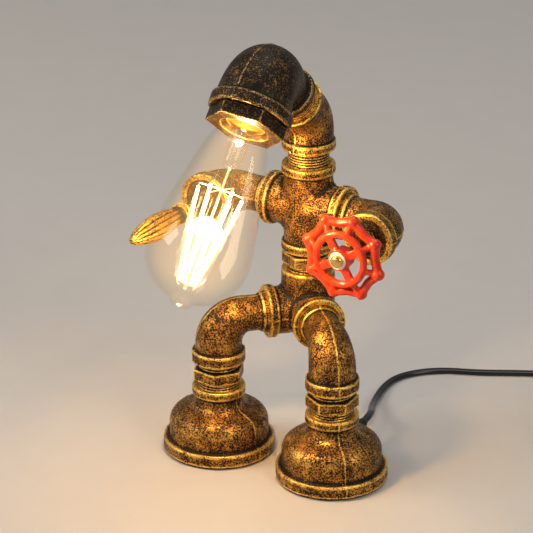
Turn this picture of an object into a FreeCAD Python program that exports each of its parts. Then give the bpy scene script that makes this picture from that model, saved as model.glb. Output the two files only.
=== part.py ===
import FreeCAD, Part
import math
import os
import re
import Sketcher
from FreeCAD import Vector

# A table lamp put together from malleable iron pipe fittings, in the shape of a small figure.
# Two reducing bells are its feet, street elbows its legs and arms, a corner fitting its hips,
# a cross its chest, a 45 degree elbow its neck and a reducing elbow its head.
# Z is up, the figure faces -Y, and the origin is on the table under the middle of the lamp.

# ---------------------------------------------------------------- driving sizes, mm and degrees
SIZES = {
    # three-quarter-inch fittings and their threads
    "bead_radius": 17.0,
    "bead_length": 6.0,
    "bead_rounding": 0.8,
    "casting_radius": 15.2,
    "thread_radius": 13.2,
    "thread_root": 12.4,
    "thread_pitch": 1.8,
    "thread_depth": 12.0,
    "thread_runout": 1.5,
    "thread_clearance": 0.05,
    "pipe_bore": 9.4,
    "hex_radius": 16.9,
    "hex_length": 7.5,
    # street elbows, the legs and the arms
    "elbow_radius": 14.9,
    "elbow_neck_radius": 11.5,
    "elbow_thread_shown": 3.6,
    "elbow_run": 30.3,
    "elbow_drop": 29.9,
    "elbow_bend": 18.0,
    "elbow_bead_length": 7.9,
    # feet
    "pad_thickness": 1.5,
    "pad_radius": 34.0,
    "foot_height": 43.3,
    "foot_rim_radius": 35.4,
    "foot_rim_height": 8.0,
    "foot_shoulder_height": 24.0,
    "foot_throat_height": 30.0,
    "foot_dome_radius": 31.6,
    "foot_shoulder": 9.0,
    "foot_throat": 7.0,
    "foot_wall": 3.2,
    "foot_inside_corner": 3.0,
    "foot_socket_depth": 14.0,
    "ankle_hex_lift": 4.5,
    "right_ankle_turn": 15.0,
    "left_ankle_turn": 6.0,
    # stance and torso
    "torso_x": -5.0,
    "torso_y": 75.2,
    "leg_spread": 45.0,
    "ankle_gap": 16.7,
    "hip_reach": 28.2,
    "waist_gap": 13.1,
    "waist_hex_lift": 3.5,
    "waist_hex_turn": 30.0,
    "chest_half_height": 29.0,
    "chest_reach": 28.2,
    "chest_radius": 15.4,
    "neck_gap": 10.1,
    # neck and head
    "neck_reach": 20.5,
    "neck_turn": -3.5,
    "neck_angle": 45.0,
    "neck_bend": 21.0,
    "neck_radius": 15.6,
    "head_gap": 8.5,
    "head_turn": 4.6,
    "head_inlet_reach": 37.0,
    "head_inlet_radius": 14.6,
    "head_outlet_reach": 33.9,
    "head_crotch": 2.0,
    "head_bulge": 4.3,
    "head_body_radius": 24.0,
    "head_wall": 3.2,
    "band_radius": 26.1,
    "band_length": 8.2,
    "band_thread_radius": 20.9,
    # bushing and lampholder in the head
    "bushing_hex_radius": 25.0,
    "bushing_hex_length": 8.2,
    "bushing_seat_gap": 0.3,
    "bushing_hex_turn": 12.0,
    "bushing_thread_length": 8.0,
    "bushing_skirt_radius": 16.6,
    "bushing_skirt_depth": 21.5,
    "bushing_bore": 15.1,
    "bushing_lip_radius": 9.0,
    "bushing_lip_thickness": 2.0,
    "holder_clearance": 0.3,
    "holder_length": 21.5,
    "holder_floor": 5.2,
    "shell_radius": 13.9,
    "shell_wall": 0.4,
    "shell_length": 16.0,
    "contact_width": 5.0,
    "contact_thickness": 0.6,
    "holder_screw_radius": 1.5,
    "holder_screw_head": 2.6,
    "holder_screw_head_height": 1.8,
    "holder_screw_length": 5.5,
    "holder_screw_circle": 11.5,
    # bulb
    "cap_radius": 13.1,
    "cap_length": 15.0,
    "insulator_length": 3.0,
    "tip_radius": 4.5,
    "tip_length": 1.2,
    "cap_thread": 0.6,
    "cap_pitch": 3.6,
    "cap_wall": 0.4,
    "glass_overlap": 2.0,
    "bulb_radius": 32.4,
    "glass_length": 120.6,
    "glass_wall": 0.8,
    "stem_radius": 5.6,
    "stem_length": 31.0,
    "filament_radius": 0.9,
    "filament_length": 46.0,
    "filament_height": 44.0,
    "filament_circle": 14.0,
    "filament_foot_circle": 9.0,
    "filament_gap": 0.1,
    "wire_radius": 0.4,
    "pin_radius": 0.9,
    "pin_length": 78.0,
    "hook_length": 7.0,
    # right hand: dimmer and handwheel
    "stopper_depth": 9.0,
    "stopper_recess": 3.0,
    "right_arm_raise": 0.0,
    "spindle_radius": 3.0,
    "spindle_clearance": 0.08,
    "dimmer_radius": 7.5,
    "dimmer_length": 7.0,
    "dimmer_neck_radius": 4.3,
    "dimmer_neck_length": 13.0,
    "nut_radius": 6.4,
    "nut_length": 3.0,
    "wheel_distance": 29.5,
    "wheel_radius": 25.2,
    "wheel_rim_radius": 2.7,
    "wheel_knob_radius": 3.4,
    "wheel_ring_radius": 16.3,
    "wheel_ring_section": 2.3,
    "wheel_dish": 4.5,
    "wheel_spoke_width": 5.4,
    "wheel_spoke_thickness": 2.6,
    "wheel_hub_radius": 7.2,
    "wheel_hub_length": 9.0,
    "wheel_hub_front": 2.5,
    "wheel_arm_radius": 1.9,
    "hub_fit": 0.02,
    "hub_inset": 0.6,
    "spindle_end_gap": 0.3,
    "wheel_turn": 30.0,
    "washer_radius": 5.7,
    "washer_thickness": 1.0,
    "wheel_screw_radius": 4.0,
    "wheel_screw_length": 2.6,
    "wheel_screw_shank": 1.5,
    "wheel_screw_depth": 8.0,
    # left hand: fluted finial
    "left_arm_raise": 2.4,
    "finial_rod_radius": 4.0,
    "finial_rod_length": 23.6,
    "finial_ring_radius": 6.6,
    "finial_ring_length": 2.6,
    "finial_ring_gap": 1.6,
    "finial_neck_radius": 4.2,
    "finial_belly_radius": 8.2,
    "finial_length": 54.5,
    "finial_tip_radius": 2.3,
    # leads inside, and the cord
    "lead_radius": 1.9,
    "lead_bend": 9.0,
    "lead_gap": 0.3,
    "connector_width": 9.0,
    "connector_length": 14.0,
    "cord_radius": 2.6,
    "exit_run": 12.0,
    "exit_height": 14.8,
    "exit_angle": 96.0,
    "grommet_radius": 3.9,
    "grommet_flange": 4.5,
    "grommet_flange_length": 3.0,
    "grommet_seat": 0.5,
    "relief_radius": 3.6,
    "relief_tip_radius": 2.9,
    "relief_length": 20.0,
    "coil_x": 137.0,
    "coil_y": 222.2,
    "coil_radius": 30.0,
    "coil_band": 15.6,
    "coil_height": 11.0,
    "tie_width": 7.0,
    "tie_thickness": 1.2,
    "tie_squeeze": 2.0,
    "coil_rounding": 3.0,
    "plug_line": 33.0,
    "tail_length": 46.0,
    "plug_length": 26.0,
    "plug_relief_length": 14.0,
    "plug_relief_radius": 4.1,
    "plug_width": 26.0,
    "plug_height": 13.0,
    "blade_length": 17.5,
    "blade_width": 6.3,
    "blade_thickness": 1.5,
    "blade_spacing": 12.7,
}

doc = FreeCAD.newDocument("pipe_lamp")
sheet = doc.addObject("Spreadsheet::Sheet", "Sizes")
for row, (name, size) in enumerate(SIZES.items(), start=1):
    sheet.set(f"A{row}", name)
    sheet.set(f"B{row}", str(size))
    sheet.setAlias(f"B{row}", name)
doc.recompute()

# Worked-out places: numbers and frames that follow the sheet.
places = doc.addObject("App::VarSet", "Places")
PLACES = []


def formula(text):
    """A formula for the expression engine, with each name given its sheet or place."""
    def owned(match):
        word = match.group(0)
        if word in SIZES:
            return "Sizes." + word
        if word in PLACES:
            return "Places." + word
        return word
    return re.sub(r"[A-Za-z_]\w*", owned, str(text))


def number(name, text):
    """A worked-out number that formulas may use by name."""
    places.addProperty("App::PropertyFloat", name)
    places.setExpression(name, formula(text).replace("Places.", ""))
    PLACES.append(name)


def at(x, y, z, turn="", angle=0):
    """A placement formula: a point, and a turn by an angle about X, Y or Z."""
    axis = {"": "0; 0; 1", "x": "1; 0; 0", "y": "0; 1; 0", "z": "0; 0; 1"}[turn]
    return f"placement(vector({x}; {y}; {z}); rotation(vector({axis}); {angle}))"


def frame(name, *steps):
    """A frame of reference, as a chain of placement formulas."""
    places.addProperty("App::PropertyPlacement", name)
    places.setExpression(name, formula(" * ".join(steps)).replace("Places.", ""))
    PLACES.append(name)


def value(text):
    """The number that a formula gives."""
    return float(places.evalExpression(formula(text)))


number("hip_height", "pad_thickness + foot_height + ankle_gap + elbow_drop")
number("hip_top", "hip_height + hip_reach")
number("chest_base", "hip_top + waist_gap")
number("chest_height", "chest_base + chest_half_height")
number("chest_top", "chest_height + chest_half_height")
number("neck_height", "chest_top + neck_gap + neck_reach")
number("foot_top", "pad_thickness + foot_height")
number("foot_reach", "hip_reach + elbow_run")
number("arm_reach", "chest_reach + elbow_run")
number("socket_radius", "thread_radius + thread_clearance")
number("socket_depth", "thread_depth + thread_runout")
number("head_bend", "head_body_radius + head_crotch")
number("wheel_arm_rise", "atan(wheel_dish / (wheel_radius - wheel_ring_radius))")
number("bead_step", "bead_radius - max(casting_radius; chest_radius)")
number("bead_edge", "min(bead_rounding; 0.85 * bead_step; 0.4 * bead_length)")
number("foot_edge", "min(bead_edge; 0.85 * abs(foot_rim_radius - foot_dome_radius))")

frame("torso", at("torso_x", "torso_y", 0))
# The leg frames have X pointing from the foot to the hips, and Z up.
frame("right_leg", "torso", at(0, 0, 0, "z", "180 - leg_spread"), at("-foot_reach", 0, 0))
frame("left_leg", "torso", at(0, 0, 0, "z", "leg_spread"), at("-foot_reach", 0, 0))
frame("right_leg_elbow_frame", "right_leg", at(0, 0, "hip_height"))
frame("left_leg_elbow_frame", "left_leg", at(0, 0, "hip_height"))
frame("right_ankle", "right_leg", at(0, 0, "foot_top", "z", "right_ankle_turn"))
frame("left_ankle", "left_leg", at(0, 0, "foot_top", "z", "left_ankle_turn"))
frame("hips", "torso", at(0, 0, "hip_height", "z", "-leg_spread"))
frame("waist", "torso", at(0, 0, "hip_top", "z", "waist_hex_turn"))
frame("chest", "torso", at(0, 0, "chest_height"))
frame("neck_base", "torso", at(0, 0, "chest_top"))
# The neck and head frames have X pointing forward in the bend and Z along the inlet.
frame("neck", "torso", at(0, 0, "neck_height", "z", "neck_turn - 90"))
frame("neck_slope", "neck", at(0, 0, 0, "y", "neck_angle"), at(0, 0, "neck_reach"))
frame("head", "neck_slope", at(0, 0, "head_gap + head_inlet_reach", "z", "head_turn"))
# The lamp frame looks out of the head, with Z along the bulb from the head's mouth.
frame("lamp", "head", at("head_outlet_reach", 0, 0, "y", 90))
# The arm frames have Z pointing from the mouth back into the elbow, X along the chest port.
frame("right_arm", "chest", at("arm_reach", 0, 0, "x", "-90 - right_arm_raise"), at(0, 0, 0, "z", 180))
frame("left_arm", "chest", at("-arm_reach", 0, 0, "x", "-90 - left_arm_raise"))
frame("right_hand", "right_arm", at(0, 0, "-elbow_drop", "x", 180))
frame("left_hand", "left_arm", at(0, 0, "-elbow_drop", "x", 180))
frame("wheel", "right_hand", at(0, 0, "wheel_distance", "z", "wheel_turn"))
# The bulb frame stands on the lampholder's contact, with Z towards the tip of the glass.
frame("holder", "lamp", at(0, 0, "bushing_lip_thickness - bushing_skirt_depth"))
frame("bulb", "holder", at(0, 0, "holder_floor + contact_thickness"))
# The cord leaves the back of the right foot, with Z straight out of the wall.
frame("cord_exit", "right_leg", at(0, 0, "exit_height", "z", "exit_angle + leg_spread - 180"),
      at("foot_dome_radius", 0, 0, "y", 90))
frame("coil", at("coil_x", "coil_y", 0))
frame("plug", "coil", at("plug_line", "-tail_length", "plug_height / 2", "x", 90))
doc.recompute()

# ---------------------------------------------------------------- ways of making a piece
NODES = []
HERE = at(0, 0, 0)


def body(label, frame_name):
    """A new sub-part, placed in its frame."""
    made = doc.addObject("PartDesign::Body", label)
    made.Label = label
    made.setExpression("Placement", formula(frame_name))
    NODES.append(made)
    return made


def plane(owner, role):
    """One of a body's own origin planes."""
    return next(part for part in owner.Origin.OriginFeatures if part.Role == role)


def feature(owner, kind, name, place, **sizes):
    """A PartDesign primitive at a place in its body, each size following its formula."""
    made = owner.newObject("PartDesign::" + kind, name)
    made.AttachmentSupport = [(plane(owner, "XY_Plane"), "")]
    made.MapMode = "FlatFace"
    for size, text in sizes.items():
        made.setExpression(size, formula(text))
    made.setExpression("AttachmentOffset", formula(place))
    return made


def rod(owner, name, radius, length, place=HERE, cut=False):
    """A round bar added to a body, or bored out of it, along the Z of a place."""
    kind = "SubtractiveCylinder" if cut else "AdditiveCylinder"
    return feature(owner, kind, name, place, Radius=radius, Height=length)


def cone(owner, name, start, end, length, place=HERE):
    """A taper from one radius to another, along the Z of a place."""
    return feature(owner, "AdditiveCone", name, place, Radius1=start, Radius2=end, Height=length)


def block(owner, name, length, width, height, place=HERE, cut=False):
    """A box added to a body or cut from it, from its lowest corner."""
    kind = "SubtractiveBox" if cut else "AdditiveBox"
    return feature(owner, kind, name, place, Length=length, Width=width, Height=height)


def hexagon(owner, name, radius, length, place=HERE):
    """A hexagonal prism added to a body, standing on a place."""
    made = feature(owner, "AdditivePrism", name, place, Circumradius=radius, Height=length)
    made.Polygon = 6
    return made


def fix(sketch, kind, text, *where):
    """A sketch constraint whose size follows a formula."""
    index = sketch.addConstraint(Sketcher.Constraint(kind, *where, value(text)))
    sketch.setExpression(f"Constraints[{index}]", formula(text))


def outline(owner, name, corners):
    """A closed outline on the body's XZ plane, each corner held by its two formulas."""
    sketch = owner.newObject("Sketcher::SketchObject", name)
    sketch.AttachmentSupport = [(plane(owner, "XZ_Plane"), "")]
    sketch.MapMode = "FlatFace"
    points = [Vector(value(across), value(along), 0) for across, along in corners]
    lines = [sketch.addGeometry(Part.LineSegment(start, end))
             for start, end in zip(points, points[1:] + points[:1])]
    for line, (across, along) in zip(lines, corners):
        before = (line - 1) % len(lines)
        sketch.addConstraint(Sketcher.Constraint("Coincident", before, 2, line, 1))
        for kind, text, axis in (("DistanceX", across, -2), ("DistanceY", along, -1)):
            if str(text) == "0":
                sketch.addConstraint(Sketcher.Constraint("PointOnObject", line, 1, axis))
            else:
                fix(sketch, kind, text, -1, 1, line, 1)
    return sketch


def turned(owner, name, corners):
    """A turned shape: an outline of (radius, height) corners spun about the body's Z axis."""
    sketch = outline(owner, name + "_outline", corners)
    made = owner.newObject("PartDesign::Revolution", name)
    made.Profile = sketch
    made.ReferenceAxis = (sketch, ["V_Axis"])
    made.Angle = 360
    return made


def round_edges(owner, name, radius, circles):
    """A fillet on round edges, each named by its radius and its distance from the body's origin."""
    doc.recompute()
    wanted = [(value(size), abs(value(distance))) for size, distance in circles]
    base = owner.Tip
    edges = []
    for index, edge in enumerate(base.Shape.Edges, start=1):
        if not edge.Degenerated and isinstance(edge.Curve, Part.Circle):
            found = (edge.Curve.Radius, edge.Curve.Center.Length)
            if any(math.dist(found, circle) < 0.001 for circle in wanted):
                edges.append(f"Edge{index}")
    made = owner.newObject("PartDesign::Fillet", name)
    made.Base = (base, edges)
    made.setExpression("Radius", formula(radius))
    return made


def ring_sketch(owner, name, radius, place):
    """A circle about the Z of a place."""
    ring = owner.newObject("Sketcher::SketchObject", name)
    ring.AttachmentSupport = [(plane(owner, "XY_Plane"), "")]
    ring.MapMode = "FlatFace"
    ring.setExpression("AttachmentOffset", formula(place))
    circle = ring.addGeometry(Part.Circle(Vector(0, 0, 0), Vector(0, 0, 1), value(radius)))
    ring.addConstraint(Sketcher.Constraint("Coincident", circle, 3, -1, 1))
    fix(ring, "Radius", radius, circle)
    return ring


def elbow_line(owner, name, inlet, outlet, bend, angle):
    """The middle line of an elbow: up the Z axis to a bend, then off towards +X."""
    sketch = owner.newObject("Sketcher::SketchObject", name)
    sketch.AttachmentSupport = [(plane(owner, "XZ_Plane"), "")]
    sketch.MapMode = "FlatFace"
    turn = math.radians(value(angle))
    radius = value(bend)
    tangent = radius * math.tan(turn / 2)
    ahead = Vector(math.sin(turn), math.cos(turn), 0)
    start = Vector(0, -value(inlet), 0)
    first = Vector(0, -tangent, 0)
    circle = Part.Circle(Vector(radius, -tangent, 0), Vector(0, 0, 1), radius)
    rise = sketch.addGeometry(Part.LineSegment(start, first))
    arc = sketch.addGeometry(Part.ArcOfCircle(circle, math.pi - turn, math.pi))
    run = sketch.addGeometry(Part.LineSegment(ahead * tangent, ahead * value(outlet)))
    guide = sketch.addGeometry(Part.LineSegment(Vector(0, 0, 0), ahead * tangent), True)
    sketch.addConstraint(Sketcher.Constraint("PointOnObject", rise, 1, -2))
    sketch.addConstraint(Sketcher.Constraint("Vertical", rise))
    sketch.addConstraint(Sketcher.Constraint("Tangent", rise, 2, arc, 2))
    sketch.addConstraint(Sketcher.Constraint("Tangent", arc, 1, run, 1))
    sketch.addConstraint(Sketcher.Constraint("Coincident", guide, 1, -1, 1))
    sketch.addConstraint(Sketcher.Constraint("Tangent", guide, 2, run, 1))
    fix(sketch, "DistanceY", inlet, rise, 1, -1, 1)
    fix(sketch, "Radius", bend, arc)
    fix(sketch, "DistanceX", f"({outlet}) * sin({angle})", -1, 1, run, 2)
    fix(sketch, "DistanceY", f"({outlet}) * cos({angle})", -1, 1, run, 2)
    return sketch


def elbow_tube(owner, name, radius, inlet, outlet, bend, angle, cut=False):
    """A round section carried along an elbow's middle line."""
    made = owner.newObject("PartDesign::SubtractivePipe" if cut else "PartDesign::AdditivePipe", name)
    made.Spine = elbow_line(owner, name + "_line", inlet, outlet, bend, angle)
    made.Profile = ring_sketch(owner, name + "_ring", radius, at(0, 0, f"-({inlet})"))
    return made


def group(label, frame_name, pieces):
    """Separate solids of one kind, kept together in one sub-part."""
    made = doc.addObject("Part::Compound", label)
    made.Label = label
    made.Links = pieces
    made.setExpression("Placement", formula(frame_name))
    NODES.append(made)
    return made


def solid(kind, name, place, **sizes):
    """A Part primitive at a place, each size following its formula."""
    made = doc.addObject("Part::" + kind, name)
    for size, text in sizes.items():
        made.setExpression(size, formula(text))
    made.setExpression("Placement", formula(place))
    return made


def threads(start, length):
    """Corners of a run of screw thread, as pitches that fit in a length."""
    count = max(1, int(value(length) / value("thread_pitch") - 0.5))
    corners = []
    for index in range(count):
        low = f"{start} + ({length} - {count} * thread_pitch) / 2 + {index} * thread_pitch"
        corners += [("thread_root", low), ("thread_radius", f"{low} + thread_pitch / 2")]
    corners.append(("thread_root", f"{low} + thread_pitch"))
    return corners


# ---------------------------------------------------------------- feet
def foot(side):
    """A hollow bell: a round rim, a domed shoulder and a threaded collar on top."""
    bell = body(f"{side}_foot", f"{side}_leg")
    rim_top = "pad_thickness + foot_rim_height"
    shoulder = "pad_thickness + foot_shoulder_height"
    throat = "pad_thickness + foot_throat_height"
    collar_base = "foot_top - bead_length"
    turned(bell, "bell", [
        ("foot_rim_radius", "pad_thickness"),
        ("foot_rim_radius", rim_top),
        ("foot_dome_radius", rim_top),
        ("foot_dome_radius", shoulder),
        ("casting_radius", throat),
        ("casting_radius", collar_base),
        ("bead_radius", collar_base),
        ("bead_radius", "foot_top"),
        ("socket_radius", "foot_top"),
        ("socket_radius", "foot_top - foot_socket_depth"),
        ("pipe_bore", "foot_top - foot_socket_depth"),
        ("pipe_bore", f"{shoulder} - foot_wall"),
        ("foot_dome_radius - foot_wall - foot_inside_corner", f"{shoulder} - foot_wall"),
        ("foot_dome_radius - foot_wall", f"{shoulder} - foot_wall - foot_inside_corner"),
        ("foot_dome_radius - foot_wall", "pad_thickness"),
    ])
    round_edges(bell, "shoulder", "foot_shoulder", [("foot_dome_radius", shoulder)])
    round_edges(bell, "throat", "foot_throat", [("casting_radius", throat)])
    round_edges(bell, "rim_edge", "foot_edge", [("foot_rim_radius", rim_top)])
    round_edges(bell, "edges", "bead_edge", [("bead_radius", collar_base), ("bead_radius", "foot_top")])
    if side == "right":
        hole = at(0, 0, "exit_height", "z", "exit_angle + leg_spread - 180")
        rod(bell, "cord_hole", "grommet_radius", "2 * foot_wall",
            f"{hole} * " + at("foot_dome_radius - 1.5 * foot_wall", 0, 0, "y", 90), cut=True)

    pad = body(f"{side}_foot_pad", f"{side}_leg")
    rod(pad, "disc", "pad_radius", "pad_thickness")


foot("left")
foot("right")


# ---------------------------------------------------------------- nipples
def nipple(label, frame_name, gap, hex_lift=None):
    """A threaded nipple that joins two fittings a gap apart, some with a hexagon to turn it by."""
    joiner = body(label, frame_name)
    ends = f"{gap} + thread_depth"
    corners = [("pipe_bore", "-thread_depth"), ("thread_radius", "-thread_depth"), ("thread_radius", "0")]
    if hex_lift is None:
        corners += threads("0", gap)
    else:
        above = f"{hex_lift} + hex_length"
        corners += threads("0", hex_lift)
        corners += [("thread_root", hex_lift), ("thread_root", above)]
        corners += threads(above, f"({gap} - {hex_lift} - hex_length)")
    corners += [("thread_radius", gap), ("thread_radius", ends), ("pipe_bore", ends)]
    turned(joiner, "thread", corners)
    if hex_lift is not None:
        hexagon(joiner, "hexagon", "hex_radius", "hex_length", at(0, 0, hex_lift))
        rod(joiner, "bore", "pipe_bore", "hex_length", at(0, 0, hex_lift), cut=True)


nipple("left_ankle_nipple", "left_ankle", "ankle_gap", "ankle_hex_lift")
nipple("right_ankle_nipple", "right_ankle", "ankle_gap", "ankle_hex_lift")
nipple("waist_nipple", "waist", "waist_gap", "waist_hex_lift")
nipple("neck_nipple", "neck_base", "neck_gap")
nipple("head_nipple", "neck_slope", "head_gap")


# ---------------------------------------------------------------- legs and arms
BEND_SECTIONS = 5


def swelling_bend(owner, name, bend, radius_at, bulge="0", cut=False):
    """A quarter bend through rings that each have their own radius, and stand out by a bulge."""
    rings = []
    for index in range(BEND_SECTIONS):
        angle = 90 * index / (BEND_SECTIONS - 1)
        reach = f"({bend} + {bulge} * sin({2 * angle}) * sin({2 * angle}))"
        place = at(f"{bend} - {reach} * cos({angle})", 0, f"{reach} * sin({angle}) - {bend}", "y", angle)
        rings.append(ring_sketch(owner, f"{name}_ring_{index}", radius_at(angle), place))
    made = owner.newObject("PartDesign::SubtractiveLoft" if cut else "PartDesign::AdditiveLoft", name)
    made.Profile = rings[0]
    made.Sections = rings[1:]


SHOWN_RIDGES = 2


def street_elbow(label, frame_name):
    """A right-angled elbow that narrows from its beaded mouth to its threaded male end."""
    casting = body(label, frame_name)
    swelling_bend(casting, "bend", "elbow_bend", lambda angle: (
        f"elbow_neck_radius + (elbow_radius - elbow_neck_radius) * cos({angle})"))
    rod(casting, "mouth", "elbow_radius", "elbow_drop - elbow_bend", at(0, 0, "-elbow_drop"))
    rod(casting, "neck", "elbow_neck_radius", "elbow_run - elbow_bend", at("elbow_bend", 0, 0, "y", 90))
    rod(casting, "male_end", "thread_radius", "thread_depth", at("elbow_run", 0, 0, "y", 90))
    half_pitch = f"elbow_thread_shown / {2 * SHOWN_RIDGES}"
    for ridge in range(SHOWN_RIDGES):
        start = f"elbow_run - elbow_thread_shown * {ridge + 1} / {SHOWN_RIDGES}"
        cone(casting, "ridge", "thread_root", "thread_radius", half_pitch, at(start, 0, 0, "y", 90))
        cone(casting, "groove", "thread_radius", "thread_root", half_pitch,
             at(f"{start} + {half_pitch}", 0, 0, "y", 90))
    rod(casting, "bead", "bead_radius", "elbow_bead_length", at(0, 0, "-elbow_drop"))
    round_edges(casting, "bead_edges", "bead_edge", [
        ("bead_radius", "elbow_drop"), ("bead_radius", "elbow_drop - elbow_bead_length")])
    elbow_tube(casting, "bore", "pipe_bore", "elbow_drop", "elbow_run + thread_depth",
               "elbow_bend", 90, cut=True)
    rod(casting, "socket", "socket_radius", "socket_depth", at(0, 0, "-elbow_drop"), cut=True)


street_elbow("left_leg_elbow", "left_leg_elbow_frame")
street_elbow("right_leg_elbow", "right_leg_elbow_frame")
street_elbow("left_arm_elbow", "left_arm")
street_elbow("right_arm_elbow", "right_arm")


# ---------------------------------------------------------------- hips and chest
def limb(owner, name, radius, reach, way):
    """A limb of a casting, from its middle out to a beaded face, along the Z of a place."""
    rod(owner, name, radius, reach, way)
    rod(owner, name + "_bead", "bead_radius", "bead_length",
        f"{way} * " + at(0, 0, f"{reach} - bead_length"))


def threaded_bore(owner, name, reach, way):
    """The bore of a limb, widened at its face for a thread."""
    rod(owner, name + "_bore", "pipe_bore", reach, way, cut=True)
    rod(owner, name + "_socket", "socket_radius", "socket_depth",
        f"{way} * " + at(0, 0, f"{reach} - socket_depth"), cut=True)


hip_corner = body("hip_corner", "hips")
LEFT_LEG_WAY = at(0, 0, 0, "z", "180 + 2 * leg_spread") + " * " + at(0, 0, 0, "y", 90)
HIP_PORTS = {"upper": HERE, "right": at(0, 0, 0, "y", 90), "left": LEFT_LEG_WAY}
feature(hip_corner, "AdditiveSphere", "underside", HERE, Radius="bead_radius")
rod(hip_corner, "upper", "bead_radius", "hip_reach")
limb(hip_corner, "right", "casting_radius", "hip_reach", HIP_PORTS["right"])
limb(hip_corner, "left", "casting_radius", "hip_reach", HIP_PORTS["left"])
round_edges(hip_corner, "bead_edges", "bead_edge", [
    ("bead_radius", "hip_reach"), ("bead_radius", "hip_reach - bead_length")])
for port, way in HIP_PORTS.items():
    threaded_bore(hip_corner, port, "hip_reach", way)

chest_cross = body("chest_cross", "chest")
CHEST_PORTS = {
    "upper": ("chest_radius", "chest_half_height", HERE),
    "lower": ("chest_radius", "chest_half_height", at(0, 0, 0, "x", 180)),
    "right": ("casting_radius", "chest_reach", at(0, 0, 0, "y", 90)),
    "left": ("casting_radius", "chest_reach", at(0, 0, 0, "y", -90)),
}
for port, (radius, reach, way) in CHEST_PORTS.items():
    limb(chest_cross, port, radius, reach, way)
round_edges(chest_cross, "bead_edges", "bead_edge", [
    ("bead_radius", reach) for reach in (
        "chest_half_height", "chest_half_height - bead_length", "chest_reach", "chest_reach - bead_length")])
for port, (radius, reach, way) in CHEST_PORTS.items():
    threaded_bore(chest_cross, port, reach, way)


# ---------------------------------------------------------------- neck
neck_elbow = body("neck_elbow", "neck")
SLOPE = at(0, 0, 0, "y", "neck_angle")
elbow_tube(neck_elbow, "wall", "neck_radius", "neck_reach", "neck_reach", "neck_bend", "neck_angle")
rod(neck_elbow, "bead", "bead_radius", "bead_length", at(0, 0, "-neck_reach"))
cone(neck_elbow, "flare", "neck_radius", "bead_radius", "bead_length",
     f"{SLOPE} * " + at(0, 0, "neck_reach - bead_length"))
round_edges(neck_elbow, "bead_edges", "bead_edge / 2", [
    ("bead_radius", "neck_reach"), ("bead_radius", "neck_reach - bead_length")])
elbow_tube(neck_elbow, "bore", "pipe_bore", "neck_reach", "neck_reach", "neck_bend", "neck_angle", cut=True)
rod(neck_elbow, "lower_socket", "socket_radius", "socket_depth", at(0, 0, "-neck_reach"), cut=True)
rod(neck_elbow, "upper_socket", "socket_radius", "socket_depth",
    f"{SLOPE} * " + at(0, 0, "neck_reach - socket_depth"), cut=True)


# ---------------------------------------------------------------- head
def head_radius(wall):
    """The radius of the head's bend at an angle along it, less a wall."""
    return lambda angle: f"head_inlet_radius + (head_body_radius - head_inlet_radius) * sin({angle}) - {wall}"


head_elbow = body("head_elbow", "head")
INLET = at(0, 0, "-head_inlet_reach")
OUTLET = at("head_bend", 0, 0, "y", 90)
swelling_bend(head_elbow, "bend", "head_bend", head_radius("0"), "head_bulge")
rod(head_elbow, "inlet", "head_inlet_radius", "head_inlet_reach - head_bend", INLET)
rod(head_elbow, "outlet", "head_body_radius", "head_outlet_reach - head_bend", OUTLET)
rod(head_elbow, "bead", "bead_radius", "bead_length", INLET)
rod(head_elbow, "band", "band_radius", "band_length", at("head_outlet_reach - band_length", 0, 0, "y", 90))
round_edges(head_elbow, "edges", "bead_edge", [
    ("bead_radius", "head_inlet_reach"), ("bead_radius", "head_inlet_reach - bead_length"),
    ("band_radius", "head_outlet_reach"), ("band_radius", "head_outlet_reach - band_length")])
swelling_bend(head_elbow, "bore", "head_bend", head_radius("head_wall"), "head_bulge", cut=True)
rod(head_elbow, "inlet_bore", "head_inlet_radius - head_wall", "head_inlet_reach - head_bend", INLET,
    cut=True)
rod(head_elbow, "outlet_bore", "head_body_radius - head_wall", "head_outlet_reach - head_bend", OUTLET,
    cut=True)
rod(head_elbow, "socket", "socket_radius", "socket_depth", INLET, cut=True)
rod(head_elbow, "mouth", "band_thread_radius + thread_clearance", "bushing_thread_length + thread_runout",
    at("head_outlet_reach - bushing_thread_length - thread_runout", 0, 0, "y", 90), cut=True)

# The bushing screws into the head's mouth, and its skirt ends in a lip that carries the lampholder.
head_bushing = body("head_bushing", "lamp")
rod(head_bushing, "skirt", "bushing_skirt_radius", "bushing_skirt_depth", at(0, 0, "-bushing_skirt_depth"))
rod(head_bushing, "thread", "band_thread_radius", "bushing_thread_length + bushing_seat_gap",
    at(0, 0, "-bushing_thread_length"))
hexagon(head_bushing, "hexagon", "bushing_hex_radius", "bushing_hex_length",
        at(0, 0, "bushing_seat_gap", "z", "bushing_hex_turn"))
BUSHING_FACE = "bushing_seat_gap + bushing_hex_length"
rod(head_bushing, "bore", "bushing_bore", f"{BUSHING_FACE} + bushing_skirt_depth - bushing_lip_thickness",
    at(0, 0, "bushing_lip_thickness - bushing_skirt_depth"), cut=True)
rod(head_bushing, "lip_hole", "bushing_lip_radius", "bushing_lip_thickness",
    at(0, 0, "-bushing_skirt_depth"), cut=True)
SCREW_SIDES = (1, -1)
for side in SCREW_SIDES:
    rod(head_bushing, "screw_hole", "holder_screw_radius + thread_clearance", "bushing_lip_thickness",
        at(f"{side} * holder_screw_circle", 0, "-bushing_skirt_depth"), cut=True)

lampholder = body("lampholder_core", "holder")
turned(lampholder, "cup", [
    ("0", "0"), ("bushing_bore - holder_clearance", "0"),
    ("bushing_bore - holder_clearance", "holder_length"),
    ("shell_radius + thread_clearance", "holder_length"),
    ("shell_radius + thread_clearance", "holder_floor"), ("0", "holder_floor")])
for side in SCREW_SIDES:
    rod(lampholder, "screw_hole", "holder_screw_radius + thread_clearance", "holder_screw_length",
        at(f"{side} * holder_screw_circle", 0, "-bushing_lip_thickness"), cut=True)

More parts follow.
